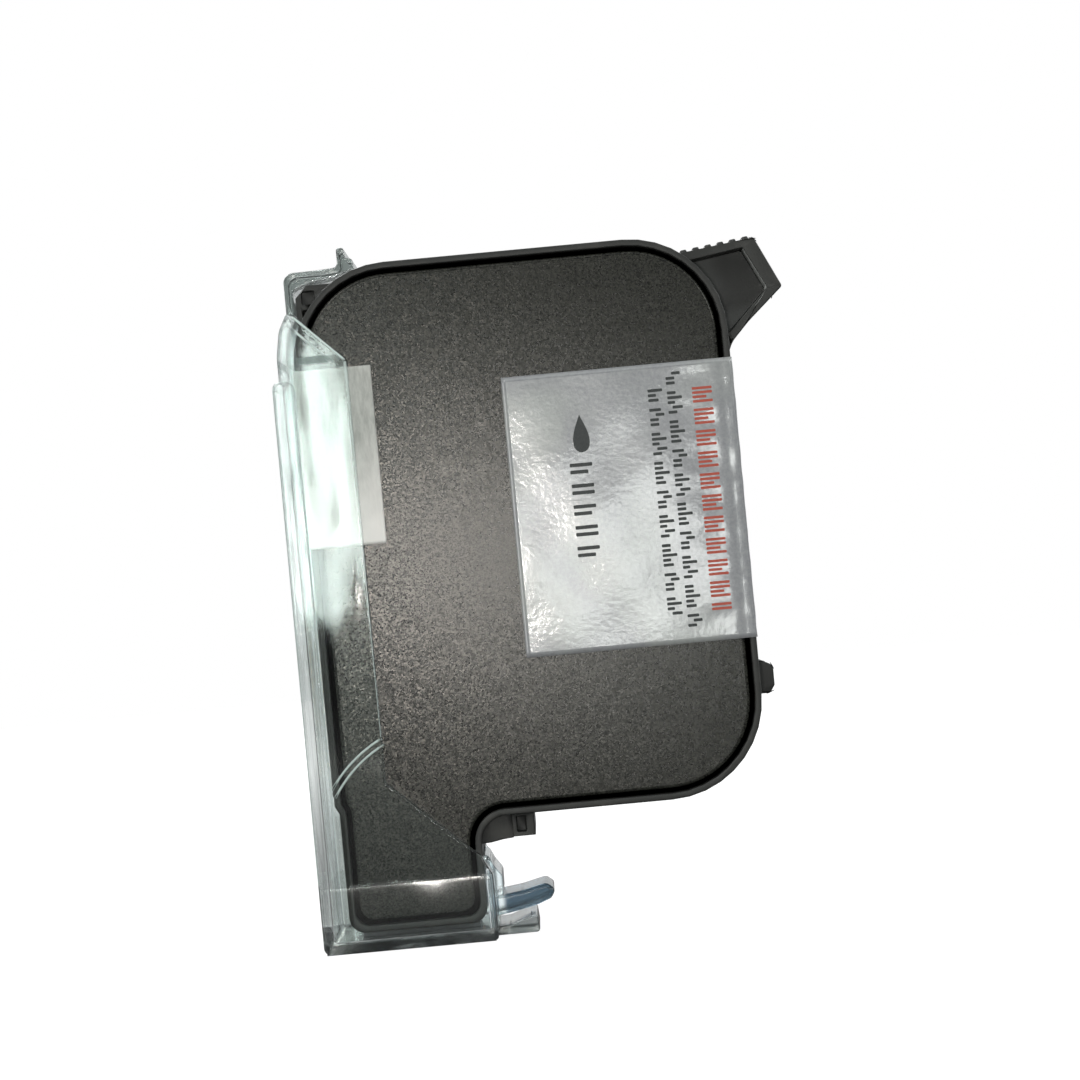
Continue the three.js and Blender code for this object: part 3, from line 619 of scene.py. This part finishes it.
def rolled_steel():
    """Stainless strip with fine rolling lines along Z."""
    g = material("rolled_steel")
    lines = g.noise(0.25, 4, 0.7, stretch=(1, 1, 0.04))
    shader = g.surface(
        base_color=g.mix(lines, (0.42, 0.42, 0.42), (0.60, 0.60, 0.59)),
        metallic=1.0,
        roughness=g.spread(lines, 0.2, 0.38),
        normal=g.bump(lines, 0.01, 0.4),
    )
    return g.done(shader)


def simple(name, dark, light, size, roughness, **more):
    """A material whose colour, roughness and grain all vary by noise of one size."""
    g = material(name)
    cloud = g.noise(size, 4, 0.6)
    low, high = roughness
    shader = g.surface(
        base_color=g.mix(cloud, dark, light),
        roughness=g.spread(g.noise(size * 0.6, 3), low, high),
        normal=g.bump(g.noise(size * 0.3, 3), 0.02, 0.4),
        **more,
    )
    return g.done(shader)


BLACK = black_plastic()
COATING = coated_metal()
LABEL = label_film()
PAPER = seal_paper()
CLEAR_WALL = clear_plastic("clear_plastic_wall", True)
CLEAR_SOLID = clear_plastic("clear_plastic_solid", False)
POLYIMIDE = polyimide()
NOZZLES = nozzle_plate()
STEEL = rolled_steel()
LINER = simple(
    "liner_plastic",
    (0.50, 0.49, 0.44),
    (0.66, 0.65, 0.60),
    2.0,
    (0.35, 0.5),
    subsurface_weight=0.3,
    subsurface_scale=MM,
)
FILM = simple("barrier_film", (0.45, 0.47, 0.48), (0.66, 0.68, 0.69), 3.0, (0.12, 0.3), metallic=0.5)
GUARD = simple("guard_film", (0.55, 0.54, 0.46), (0.70, 0.69, 0.62), 2.0, (0.3, 0.45))
GLUE = simple("encapsulant", (0.004, 0.004, 0.005), (0.014, 0.014, 0.015), 0.6, (0.15, 0.3))
RUBBER = simple("elastomer", (0.16, 0.17, 0.18), (0.26, 0.27, 0.28), 0.5, (0.6, 0.75))
DARK_INK = simple("dark_print", (0.012, 0.016, 0.017), (0.035, 0.042, 0.042), 0.3, (0.3, 0.45))
RED_INK = simple("red_print", (0.40, 0.045, 0.025), (0.55, 0.10, 0.06), 0.3, (0.3, 0.45))

# -------------------- cartridge: the kept nodes


def finish_node(node, material, bevel=0.0):
    """Gives a CAD node its material, and rounds its sharp edges by a bevel in millimetres."""
    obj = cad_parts[node]
    obj.data.materials.clear()
    obj.data.materials.append(material)
    if not bevel:
        return
    if "custom_normal" in obj.data.attributes:
        obj.data.attributes.remove(obj.data.attributes["custom_normal"])
    obj.data.polygons.foreach_set("use_smooth", [True] * len(obj.data.polygons))
    weld = obj.modifiers.new("weld", "WELD")
    weld.merge_threshold = 0.002 * MM
    flat = obj.modifiers.new("flat faces", "DECIMATE")
    flat.decimate_type = "DISSOLVE"
    flat.angle_limit = math.radians(0.1)
    obj.modifiers.new("even triangles", "TRIANGULATE")
    edge = obj.modifiers.new("rounded edges", "BEVEL")
    edge.width = bevel * MM
    edge.segments = 2
    edge.limit_method = "ANGLE"
    edge.angle_limit = math.radians(30)
    edge.use_clamp_overlap = False
    edge.miter_outer = "MITER_ARC"
    obj.modifiers.new("flat faces stay flat", "WEIGHTED_NORMAL")


finish_node("outer_frame", BLACK, 0.14)
finish_node("inner_frame", LINER, 0.12)
finish_node("flex_circuit", POLYIMIDE)
finish_node("printhead_die", NOZZLES)
finish_node("fill_port_ball", STEEL)
finish_node("contact_side_die_bead", GLUE)
finish_node("grip_side_die_bead", GLUE)
finish_node("nozzle_seal_pad", RUBBER, 0.1)
for side in ("near", "far"):
    finish_node(f"{side}_filter_screen", STEEL)
    finish_node(f"{side}_piston_plate", STEEL)
    finish_node(f"{side}_edge_guard", GUARD)

# -------------------- cartridge: covers


def side_cover(side, sign):
    """A pressed lid with a rounded edge, sunk below the frame's rim."""
    outer = sign * COVER_LOW.y
    corners = inset(OUTLINE, COVER_INSET - 0.25, 1.6)
    y0, y1 = sorted((outer, outer - math.copysign(1, outer)))
    lid = slab(f"{side}_cover_panel", corners, y0, y1, edge=0.38, depth=0.3, steps=5, arc=16)
    shade(lid, COATING)
    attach(lid, "cartridge")
    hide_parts(f"{side}_side_cover")


side_cover("near", 1)
side_cover("far", -1)

# -------------------- cartridge: label and paper strip


def ripple(a, b, *waves):
    """Sum of slow waves over two coordinates. A wave is an amplitude, two wavelengths and a phase."""
    return sum(h * math.sin(a / p * 2 * math.pi + b / q * 2 * math.pi + t) for h, p, q, t in waves)


def label_lift(x, z):
    """How far the label's face stands off the cover, in millimetres: waves, stronger near the wall."""
    near_wall = min(max((x - (BODY_RIGHT - 9)) / 9, 0), 1)
    waves = ripple(x, z, (0.014, 11, 23, 0.4), (0.008, -13, 9.5, 1.9))
    crinkle = ripple(x, z, (0.020, 14, 4.6, 0.0), (0.012, -9, 3.1, 2.1))
    ridge = 0.03 * (0.7 + 0.3 * math.sin(z / 2.1)) * math.exp(-(((x - (BODY_RIGHT - 1.7)) / 0.8) ** 2))
    seam = -0.06 * math.exp(-(((x - (BODY_RIGHT - 1.1)) / 0.45) ** 2))
    return 0.05 + waves + near_wall * crinkle + ridge + seam


def strip_lift(x, z):
    """The paper strip's waves."""
    seam = -0.08 * math.exp(-(((x - (BODY_LEFT + 1.2)) / 0.4) ** 2))
    return 0.04 + ripple(x, z, (0.03, 9, 13, 0.3), (0.02, 5, -7, 1.1)) + seam


def wrap_path(flap, wall_x, away):
    """The way from one flap's edge, round the wall and to the other flap's edge.

    Each step gives x and y, and the way out of the sheet there. Away is 1 for a wall on the right.
    """
    radius = 0.35
    face = HALF_THICKNESS + SHEET_GAP
    wall = wall_x + away * SHEET_GAP
    columns, sides = 46, 40
    flat = [(flap + (wall - away * radius - flap) * k / columns) for k in range(columns + 1)]
    path = [(x, -face, 0, -1) for x in flat]
    turns = [math.pi / 2 * k / 6 for k in range(1, 6)]
    for t in turns:
        x = wall - away * radius + away * radius * math.sin(t)
        path.append((x, -face + radius * (1 - math.cos(t)), away * math.sin(t), -math.cos(t)))
    for k in range(sides + 1):
        path.append((wall, (face - radius) * (2 * k / sides - 1), away, 0))
    for t in turns:
        x = wall - away * radius + away * radius * math.cos(t)
        path.append((x, face - radius + radius * math.sin(t), away * math.cos(t), math.sin(t)))
    return path + [(x, face, 0, 1) for x in reversed(flat)]


def wrapped_sheet(name, box, wall_x, lift, material, thickness):
    """A sheet over the near face, round an edge wall and onto the far face."""
    low, high = box
    away = 1 if wall_x > (low.x + high.x) / 2 else -1
    path = wrap_path(low.x if away > 0 else high.x, wall_x, away)
    rows = 56
    vertices = []
    for r in range(rows + 1):
        z = low.z + (high.z - low.z) * r / rows
        for x, y, out_x, out_y in path:
            d = max(lift(x, z) if out_y else lift(wall_x - away * 2 + 0.2 * y, z) * 0.6, 0.0)
            vertices.append((x + out_x * d, y + out_y * d, z))
    width = len(path)
    faces = []
    for r in range(rows):
        for c in range(width - 1):
            a = r * width + c
            quad = (a, a + 1, a + width + 1, a + width)
            faces.append(quad if away > 0 else tuple(reversed(quad)))
    sheet = new_object(name, vertices, faces)
    for polygon in sheet.data.polygons:
        polygon.use_smooth = True
    sheet.data.materials.append(material)
    thick = sheet.modifiers.new("thickness", "SOLIDIFY")
    thick.thickness = thickness * MM
    thick.offset = 1
    return sheet


label_box = LABEL_LOW, LABEL_HIGH
label = wrapped_sheet("label_sheet", label_box, BODY_RIGHT, label_lift, LABEL, LABEL_THICKNESS)
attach(label, "cartridge")
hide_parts("side_label")

strip_box = STRIP_LOW, STRIP_HIGH
strip = wrapped_sheet("paper_strip", strip_box, BODY_LEFT, strip_lift, PAPER, PAPER_THICKNESS)
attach(strip, "cartridge")
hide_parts("seal_strip")


def print_patch(name, patches, material):
    """Printed areas lying on the label's near face. Each patch is a closed outline of x, z points."""
    vertices, faces = [], []
    rise = HALF_THICKNESS + SHEET_GAP + LABEL_THICKNESS + PRINT_GAP
    for outline in patches:
        start = len(vertices)
        centre = (sum(p[0] for p in outline) / len(outline), sum(p[1] for p in outline) / len(outline))
        for x, z in [centre, *outline]:
            vertices.append((x, -(rise + label_lift(x, z)), z))
        count = len(outline)
        for i in range(count):
            faces.append((start, start + 1 + i, start + 1 + (i + 1) % count))
    patch = new_object(name, vertices, faces)
    patch.data.materials.append(material)
    thick = patch.modifiers.new("thickness", "SOLIDIFY")
    thick.thickness = 0.01 * MM
    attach(patch, "cartridge")


def dashes(x, width, z_top, z_bottom, pattern, thickness=0.3, pitch=0.62):
    """Short dashes across a line that runs down the label.

    The pattern gives their lengths as shares of the width, negative from its right side, 0 for a gap.
    """
    made, z, k = [], z_top, 0
    while z > z_bottom:
        share = pattern[k % len(pattern)]
        if share:
            start = x if share > 0 else x + width * (1 + share)
            made.append(rounded(rectangle(start, z - thickness, start + width * abs(share), z, 0.1), 3))
        z -= pitch
        k += 1
    return made


def droplet(x, z, size):
    """A plain drop, pointed at the top."""
    points = []
    for k in range(24):
        t = 2 * math.pi * k / 24
        points.append((x + size * 0.62 * math.sin(t) * math.sin(t / 2) ** 1.4, z + size * math.cos(t)))
    return points


def label_print():
    """A plain drop, one short line, two fine lines and a red one. The dashes follow no alphabet."""
    left = LABEL_LOW.x
    print_patch("label_mark", [droplet(left + 8.6, 55.2, 2.2)], DARK_INK)
    short_line = dashes(left + 7.0, 2.6, 51.8, 40.5, (1, 0.8, 0, -1, 1, 0), 0.42, 0.8)
    print_patch("label_short_line", short_line, DARK_INK)
    fine = (1, 0.55, 0.7, 0, 0.8, -0.6, 0.6, 0.6, 0, 0.6, 1, 0.5, -0.7, 0.6, 0, 0.6, 0.6)
    fine_lines = dashes(left + 16.7, 1.7, 59.5, 33.4, fine, 0.34, 0.56)
    fine_lines += dashes(left + 18.9, 1.7, 61.3, 31.8, fine[5:] + fine[:5], 0.34, 0.56)
    print_patch("label_fine_lines", fine_lines, DARK_INK)
    red_line = dashes(left + 21.8, 2.3, 59.3, 33.5, (1, 1, 0.7, 1, 0), 0.3, 0.5)
    print_patch("label_red_line", red_line, RED_INK)


label_print()

# -------------------- cartridge: bag films and spring


def bag_film(side, sign):
    """A film welded flat round its edge and swollen over the pressure plate, whose crown it follows."""
    flat, crown = abs(FILM_HIGH.y), abs(FILM_LOW.y)
    border = inset(OUTLINE, 2.6, 0.3)
    plate = rectangle(PLATE_LOW.x, PLATE_LOW.z, PLATE_HIGH.x, PLATE_HIGH.z, 5)
    levels = [(2.9, flat + 0.05), (2.1, flat + 0.5), (1.5, crown - 0.5), (0.9, crown - 0.06)]
    levels += [(-1.5, crown), (-9, crown + 0.02)]
    rings = [[(x, -sign * y, z) for x, z in rounded(inset(plate, -grow), 12)] for grow, y in levels]
    dome = loft(f"{side}_film", rings, closed=False)
    edited = bmesh.new()
    edited.from_mesh(dome.data)
    edited.verts.ensure_lookup_table()
    count = len(rings[0])
    edited.faces.new(edited.verts[-count:])
    inner = set(edited.verts[:count])
    loops = [edge for edge in edited.edges if set(edge.verts) <= inner]
    outer = [edited.verts.new(at(x, -sign * flat, z)) for x, z in rounded(border, 12)]
    loops += [edited.edges.new((outer[i - 1], outer[i])) for i in range(len(outer))]
    bmesh.ops.triangle_fill(edited, use_beauty=True, edges=loops)
    bmesh.ops.recalc_face_normals(edited, faces=edited.faces)
    edited.to_mesh(dome.data)
    edited.free()
    for polygon in dome.data.polygons:
        polygon.use_smooth = True
    dome.data.materials.append(FILM)
    thick = dome.modifiers.new("thickness", "SOLIDIFY")
    thick.thickness = 0.12 * MM
    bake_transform(dome)
    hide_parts(f"{side}_bag_film")


bag_film("near", 1)
bag_film("far", -1)


def bow_spring():
    """Two bows joined at their ends."""
    centre = (SPRING_LOW.z + SPRING_HIGH.z) / 2
    half_length = (SPRING_HIGH.z - SPRING_LOW.z) / 2
    strip = 0.35
    rings = []
    steps = 72
    for k in range(steps):
        t = 2 * math.pi * k / steps
        out = (SPRING_HIGH.y * math.cos(t), centre + half_length * math.sin(t))
        back = ((SPRING_HIGH.y - strip) * math.cos(t), centre + (half_length - strip) * math.sin(t))
        ends = (SPRING_LOW.x, SPRING_HIGH.x)
        rings.append([(ends[0], *out), (ends[1], *out), (ends[1], *back), (ends[0], *back)])
    spring = loft("bow_spring_strip", [*rings, rings[0]], closed=False)
    shade(spring, STEEL)
    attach(spring, "cartridge")
    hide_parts("bow_spring")
    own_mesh(spring)


bow_spring()

# -------------------- clear clip


def clip_body():
    """The outer shape with its hollow cut away, which leaves back wall, wings, floor and side walls."""
    wing = [
        (BACK, FLOOR, 1),
        (8.9, FLOOR, 0.4),
        (8.9, 5.6, 0.6),
        (7.7, 8, 0.8),
        (5.9, 9.6, 0.8),
        (WING_EDGE, 17.3, 0.6),
        (WING_EDGE, 66.1, 0.5),
        (-8, 71.6, 0.4),
        (-8.9, NECK_TOP, 0.2),
        (-9.9, 70, 3),
        (-10.4, 67, 6),
        (-10.4, CHANNEL_TOP, 0.2),
        (BACK, CHANNEL_TOP, 0.7),
    ]
    hollow = [
        (BACK + 1.1, FLOOR_TOP, 0.6),
        (CATCH_X + 0.2, FLOOR_TOP, 0.4),
        (CATCH_X + 0.2, 20, 0.4),
        (20, 20, 0.4),
        (20, 80, 0.4),
        (-7.9, 80, 0.4),
        (-7.9, NECK_TOP - 0.6, 1),
        (-8.95, 69.8, 3),
        (-9.45, 66.8, 6),
        (-9.45, 64.5, 0.3),
        (BACK + 1.1, CHANNEL_TOP - 1.1, 0.5),
    ]
    latch_bay = rectangle(CATCH_X, FLOOR_TOP, 12, 12, 0.2)
    snout_wall = rectangle(CATCH_X - 0.9, 5, CATCH_X + 0.25, 12, 0.1)
    body = slab("clip_body", wing, -OUTER_HALF, OUTER_HALF, edge=0.35, depth=0.3, steps=4)
    inside = slab("hollow", hollow, -INNER_HALF, INNER_HALF, edge=0.35, steps=4)
    bay = slab("bay", latch_bay, -LATCH_HALF - 0.4, LATCH_HALF + 0.4, 0.1)
    snout = slab("snout", snout_wall, -INNER_HALF, INNER_HALF, 0.2)
    return boolean(body, [inside, bay, snout], "DIFFERENCE")


def on_both_sides(name, corners, inner, outer, edge, **more):
    """The same slab on the near and the far side, between two distances from the middle plane."""
    return [
        slab(f"{name}_near", corners, -outer, -inner, edge, **more),
        slab(f"{name}_far", corners, inner, outer, edge, **more),
    ]


def ring_corners(x, z, radius, start, end, width):
    """Outline of a band of a ring, between two angles in degrees."""
    steps = 14
    angles = [math.radians(start + (end - start) * k / steps) for k in range(steps + 1)]
    places = [(radius + width, a) for a in angles] + [(radius, a) for a in reversed(angles)]
    return [(x + r * math.cos(a), z + r * math.sin(a), 0.01) for r, a in places]


def stations(start, end, edge=0.16):
    """Places between two ends, close together where the edges are rounded, and the rounding's drop."""
    turned = [math.pi / 2 * k / 4 for k in range(4)]
    rising = [(edge * (1 - math.cos(t)), edge * (1 - math.sin(t))) for t in turned]
    places = [(start + d, drop) for d, drop in rising]
    places += [(start + edge + (end - start - 2 * edge) * k / 16, 0.0) for k in range(17)]
    return places + [(end - d, drop) for d, drop in reversed(rising)]


def collar_side(side):
    """The swollen foot of one wing: a step at its top, slightly crowned both along it and upwards."""
    left, right = BACK + 0.3, CATCH_X + 0.6
    foot = FLOOR - 0.02
    root = side * (OUTER_HALF - 0.45)
    rings = []
    for x, end_drop in stations(left, right):
        across = (x - (left + right) / 2) ** 2 / 2500
        slope = 0.5 + 0.36 * math.exp(-(((x - 2.5) / 2.2) ** 2))
        ring = []
        for z, drop in stations(foot, COLLAR_TOP):
            crown = 0.68 - across - slope * (z - 0.3) ** 2 / 120
            ring.append((x, side * (OUTER_HALF + crown - max(drop, end_drop)), z))
        ring += [(x, root, COLLAR_TOP), (x, root, foot)]
        rings.append(ring)
    return loft("collar", rings)


def channel_sides():
    """The channel's sides, which stand a little proud of the wings."""
    corners = with_radius([(BACK - 0.03, FLOOR - 0.03), (-8.7, FLOOR - 0.03)], 0.9)
    corners += with_radius([(-8.7, CHANNEL_TOP + 0.05), (BACK - 0.03, CHANNEL_TOP + 0.05)], 1.1)
    return on_both_sides("channel", corners, OUTER_HALF - 0.4, OUTER_HALF + 0.4, 0.3)


def wing_beads():
    """Raised lines on the wings: two arcs at the foot, two slanting ones on top, one along the edge."""
    beads = []
    for inner in (14.9, 15.65):
        arc = ring_corners(4.5, 8.2, inner, 116.5, 148.5, 0.28)
        beads += on_both_sides("rib", arc, OUTER_HALF - 0.3, OUTER_HALF + 0.25, 0.1, depth=0.15, arc=1)
    slope = Vector((WING_EDGE + 8, 66.1 - 71.6)).normalized()
    for away in (0.05, 1.15):
        start = Vector((-8, 71.6)) + Vector((slope.y, -slope.x)) * away
        end = start + slope * (7.75 - 0.8 * away)
        across = Vector((slope.y, -slope.x)) * 0.28
        bead = [(*p, 0.05) for p in (start, start + across, end + across, end)]
        beads += on_both_sides("diagonal", bead, OUTER_HALF - 0.3, OUTER_HALF + 0.2, 0.1, depth=0.15)
    edge = [(WING_EDGE - 0.12, 22.5, 0.02), (WING_EDGE - 0.06, 22.5, 0.02)]
    edge += [(WING_EDGE - 0.06, 65.9, 0.02), (WING_EDGE - 0.4, 65.9, 0.02)]
    return beads + on_both_sides("edge", edge, OUTER_HALF - 0.3, OUTER_HALF + 0.2, 0.06, depth=0.1)


def flange():
    """The wedge that carries the clip's base on past the latch, under the lever."""
    corners = [
        (7, FLOOR + 0.02, 0.1),
        (13.7, FLOOR + 0.02, 0.4),
        (13.5, 0.15, 0.3),
        (12.8, 0.1, 0.5),
        (10.3, FLOOR_TOP + 0.05, 0.6),
        (9.6, FLOOR_TOP - 0.02, 0.2),
        (7, FLOOR_TOP - 0.02, 0.1),
    ]
    return slab("flange", corners, -LATCH_HALF - 0.5, LATCH_HALF + 0.5, 0.25)


def clip_shell():
    """The whole shell as one mesh, so that no inner faces show through the clear walls."""
    parts = [*channel_sides(), collar_side(-1), collar_side(1), *wing_beads(), flange()]
    shell = boolean(clip_body(), parts, "UNION")
    shell.name = shell.data.name = "clip_clear_shell"
    shade(shell, CLEAR_WALL, 30)
    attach(shell, "clip")
    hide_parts("clip_shell")


def top_hook():
    """Hook, arm and thumb tab. Its foot stands on the shell."""
    corners = [
        (-9.1, NECK_TOP + 0.02, 0.05),
        (-8.1, NECK_TOP + 0.02, 0.05),
        (-8.1, 74.9, 0.6),
        (-6, 75.55, 1.5),
        (-2.9, 76.05, 1),
        (-1.4, 76.6, 0.5),
        (-0.8, 76.65, 0.15),
        (-0.9, 77.9, 0.4),
        (-1.7, 78.1, 0.15),
        (-1.8, 79.3, 0.35),
        (-2.7, 79.3, 0.35),
        (-2.7, 77.1, 0.6),
        (-5, 76.95, 2),
        (-9.1, 76.9, 1.2),
    ]
    hook = slab("clip_clear_hook", corners, HOOK_LOW.y, HOOK_HIGH.y, edge=0.22, steps=3)
    shade(hook, CLEAR_SOLID, 30)
    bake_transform(hook)
    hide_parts("clip_top_hook")


def release_latch():
    """A springy wall with a round nose in the catch groove, and a lever to press down."""
    wall = [
        (CATCH_X + 0.25, FLOOR_TOP + 0.02, 0.05),
        (9, FLOOR_TOP + 0.02, 0.05),
        (9, 2.6, 0.3),
        (9.8, 2.7, 0.3),
        (9.85, 5, 0.8),
        (9, 6.2, 0.8),
        (CATCH_X + 0.64, 7, 0.3),
        (CATCH_X + 0.1, 6.9, 0.1),
        (CATCH_X + 0.25, 6, 0.3),
    ]
    lever = [
        (8.7, 0.2, 0.2),
        (10.9, 0.55, 3),
        (13.7, 1.15, 3),
        (15.3, 1.75, 0.8),
        (15.9, 2.75, 0.6),
        (14.9, 3.6, 0.8),
        (12, 2.95, 4),
        (9.6, 2.65, 0.5),
        (8.7, 2.65, 0.2),
    ]
    nose = rectangle(CATCH_X - 0.62, 6.28, CATCH_X + 0.62, 7.52, 0.6)
    latch = slab("clip_clear_latch", wall, -LATCH_HALF, LATCH_HALF, 0.15)
    parts = [slab("lever", lever, -LATCH_HALF + 1, LATCH_HALF - 1, 0.5, depth=0.6, steps=4)]
    parts.append(slab("nose", nose, -LATCH_HALF + 0.1, LATCH_HALF - 0.1, 0.15))
    boolean(latch, parts, "UNION")
    shade(latch, CLEAR_SOLID, 30)
    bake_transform(latch)
    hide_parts("clip_release_latch")


clip_shell()
top_hook()
release_latch()

# -------------------- floor, light and camera


def pale_floor():
    """A floor that is white to the camera, and dim to the light that falls on the object.

    Behind the object its glow also shows in reflections, so that clear walls show no horizon.
    """
    half = 900
    ends = ((-half, -half), (half, -half), (half, half), (-half, half))
    floor = new_object("floor", [(x, y, FLOOR - 0.02) for x, y in ends], [(0, 1, 2, 3)])
    g = material("pale_floor")
    dull = g.add("ShaderNodeBsdfDiffuse", {"Color": (0.25, 0.25, 0.25)}).outputs[0]
    level = g.spread(g.between(g.math("ABSOLUTE", g.axis("Y")), 150, 600), 0.88, 1.0)
    glow = g.add("ShaderNodeEmission", {"Color": (1, 1, 1), "Strength": level}).outputs[0]
    both = g.add("ShaderNodeAddShader")
    g.put(both.inputs[0], dull)
    g.put(both.inputs[1], glow)
    rays = g.add("ShaderNodeLightPath").outputs
    refracted = g.math("MULTIPLY", rays["Is Transmission Ray"], 0.85)
    behind = g.math("MULTIPLY", g.between(g.axis("Y"), 100, 500), 0.6)
    reflected = g.math("MULTIPLY", rays["Is Glossy Ray"], behind)
    seen = g.math("MAXIMUM", rays["Is Camera Ray"], g.math("MAXIMUM", refracted, reflected))
    floor.data.materials.append(g.done(g.blend_shaders(seen, dull, both.outputs[0])))


def studio_world():
    """White to the camera. To everything else a dark room, with a pale ring round the camera.

    It is brighter overhead and behind the object, and refracted rays see an even pale one.
    """
    g = Graph(bpy.data.worlds.new("studio"))
    bpy.context.scene.world = g.owner
    parts = g.add("ShaderNodeSeparateXYZ", {"Vector": g.place}).outputs
    towards = g.math("MULTIPLY", parts["Y"], -1.0)
    ring = g.math("MULTIPLY", g.between(towards, 0.25, 0.6), g.between(towards, 0.92, 0.8))
    overhead = g.between(parts["Z"], -0.3, 0.8)
    ring = g.math("MULTIPLY", ring, g.spread(overhead, 0.35, 0.8))
    level = g.math("ADD", ring, g.spread(overhead, 0.04, 0.3))
    level = g.math("ADD", level, g.spread(g.between(towards, -0.4, -0.95), 0.0, 0.55))
    room = g.add("ShaderNodeBackground", {"Color": (0.97, 1.0, 1.0), "Strength": level}).outputs[0]
    white = g.add("ShaderNodeBackground", {"Color": (1, 1, 1)}).outputs[0]
    pale = g.add("ShaderNodeBackground", {"Color": (0.93, 1.0, 0.98), "Strength": 0.6}).outputs[0]
    rays = g.add("ShaderNodeLightPath").outputs
    room = g.blend_shaders(rays["Is Transmission Ray"], room, pale)
    g.done(g.blend_shaders(rays["Is Camera Ray"], room, white))


def area_light(name, place, target, size, power, colour=(1, 1, 1)):
    """An area light at a place in millimetres, aimed at a target."""
    data = bpy.data.lights.new(name, "AREA")
    data.shape = "RECTANGLE"
    data.size, data.size_y = size[0] * MM, size[1] * MM
    data.energy = power
    data.color = colour
    light = bpy.data.objects.new(name, data)
    light.location = at(*place)
    light.rotation_euler = (Vector(target) - Vector(place)).to_track_quat("-Z", "Y").to_euler()
    bpy.context.scene.collection.objects.link(light)


ROLL = math.radians(5.3)  # the object leans to the left in the picture
VIEW_CENTRE = Vector((17.8, -HALF_THICKNESS, 43.4))
VIEW_DISTANCE = 500
VIEW_WIDTH = 124.4  # across the picture at the near face


def camera():
    data = bpy.data.cameras.new("camera")
    data.sensor_width = 36
    data.lens = 36 * VIEW_DISTANCE / VIEW_WIDTH
    data.clip_start, data.clip_end = 0.05, 10
    made = bpy.data.objects.new("camera", data)
    bpy.context.scene.collection.objects.link(made)
    right = Vector((math.cos(ROLL), 0, -math.sin(ROLL)))
    up = Vector((math.sin(ROLL), 0, math.cos(ROLL)))
    back = Vector((0, -1, 0))
    turn = Matrix((right, up, back)).transposed().to_4x4()
    made.matrix_world = Matrix.Translation(at(*VIEW_CENTRE) - Vector((0, VIEW_DISTANCE * MM, 0))) @ turn
    bpy.context.scene.camera = made


pale_floor()
studio_world()
middle = (16, 0, 40)
area_light("key", (-330, -480, 420), middle, (260, 260), 0.95, (1.0, 0.995, 0.96))
area_light("fill", (480, -420, 260), middle, (260, 260), 0.55, (0.96, 0.99, 0.98))
area_light("low left", (-420, -260, 20), middle, (160, 160), 0.3, (1.0, 1.0, 0.98))
area_light("back", (-200, 520, 420), middle, (300, 300), 2.4)
area_light("right", (600, 130, 280), middle, (220, 220), 1.2)
area_light("flash", (-4.6, -505, 41.6), (6.6, 0, 42.5), (21, 21), 0.147, (1.0, 0.955, 0.90))
area_light("glare", (-35, -511, 65), (-7, 0, 54), (16, 70), 0.047, (0.88, 1.0, 0.95))
area_light("label glare", (41, -505, 36), (30, 0, 40.5), (36, 40), 0.054, (0.96, 1.0, 0.97))
camera()
bpy.context.scene.view_settings.view_transform = "Standard"
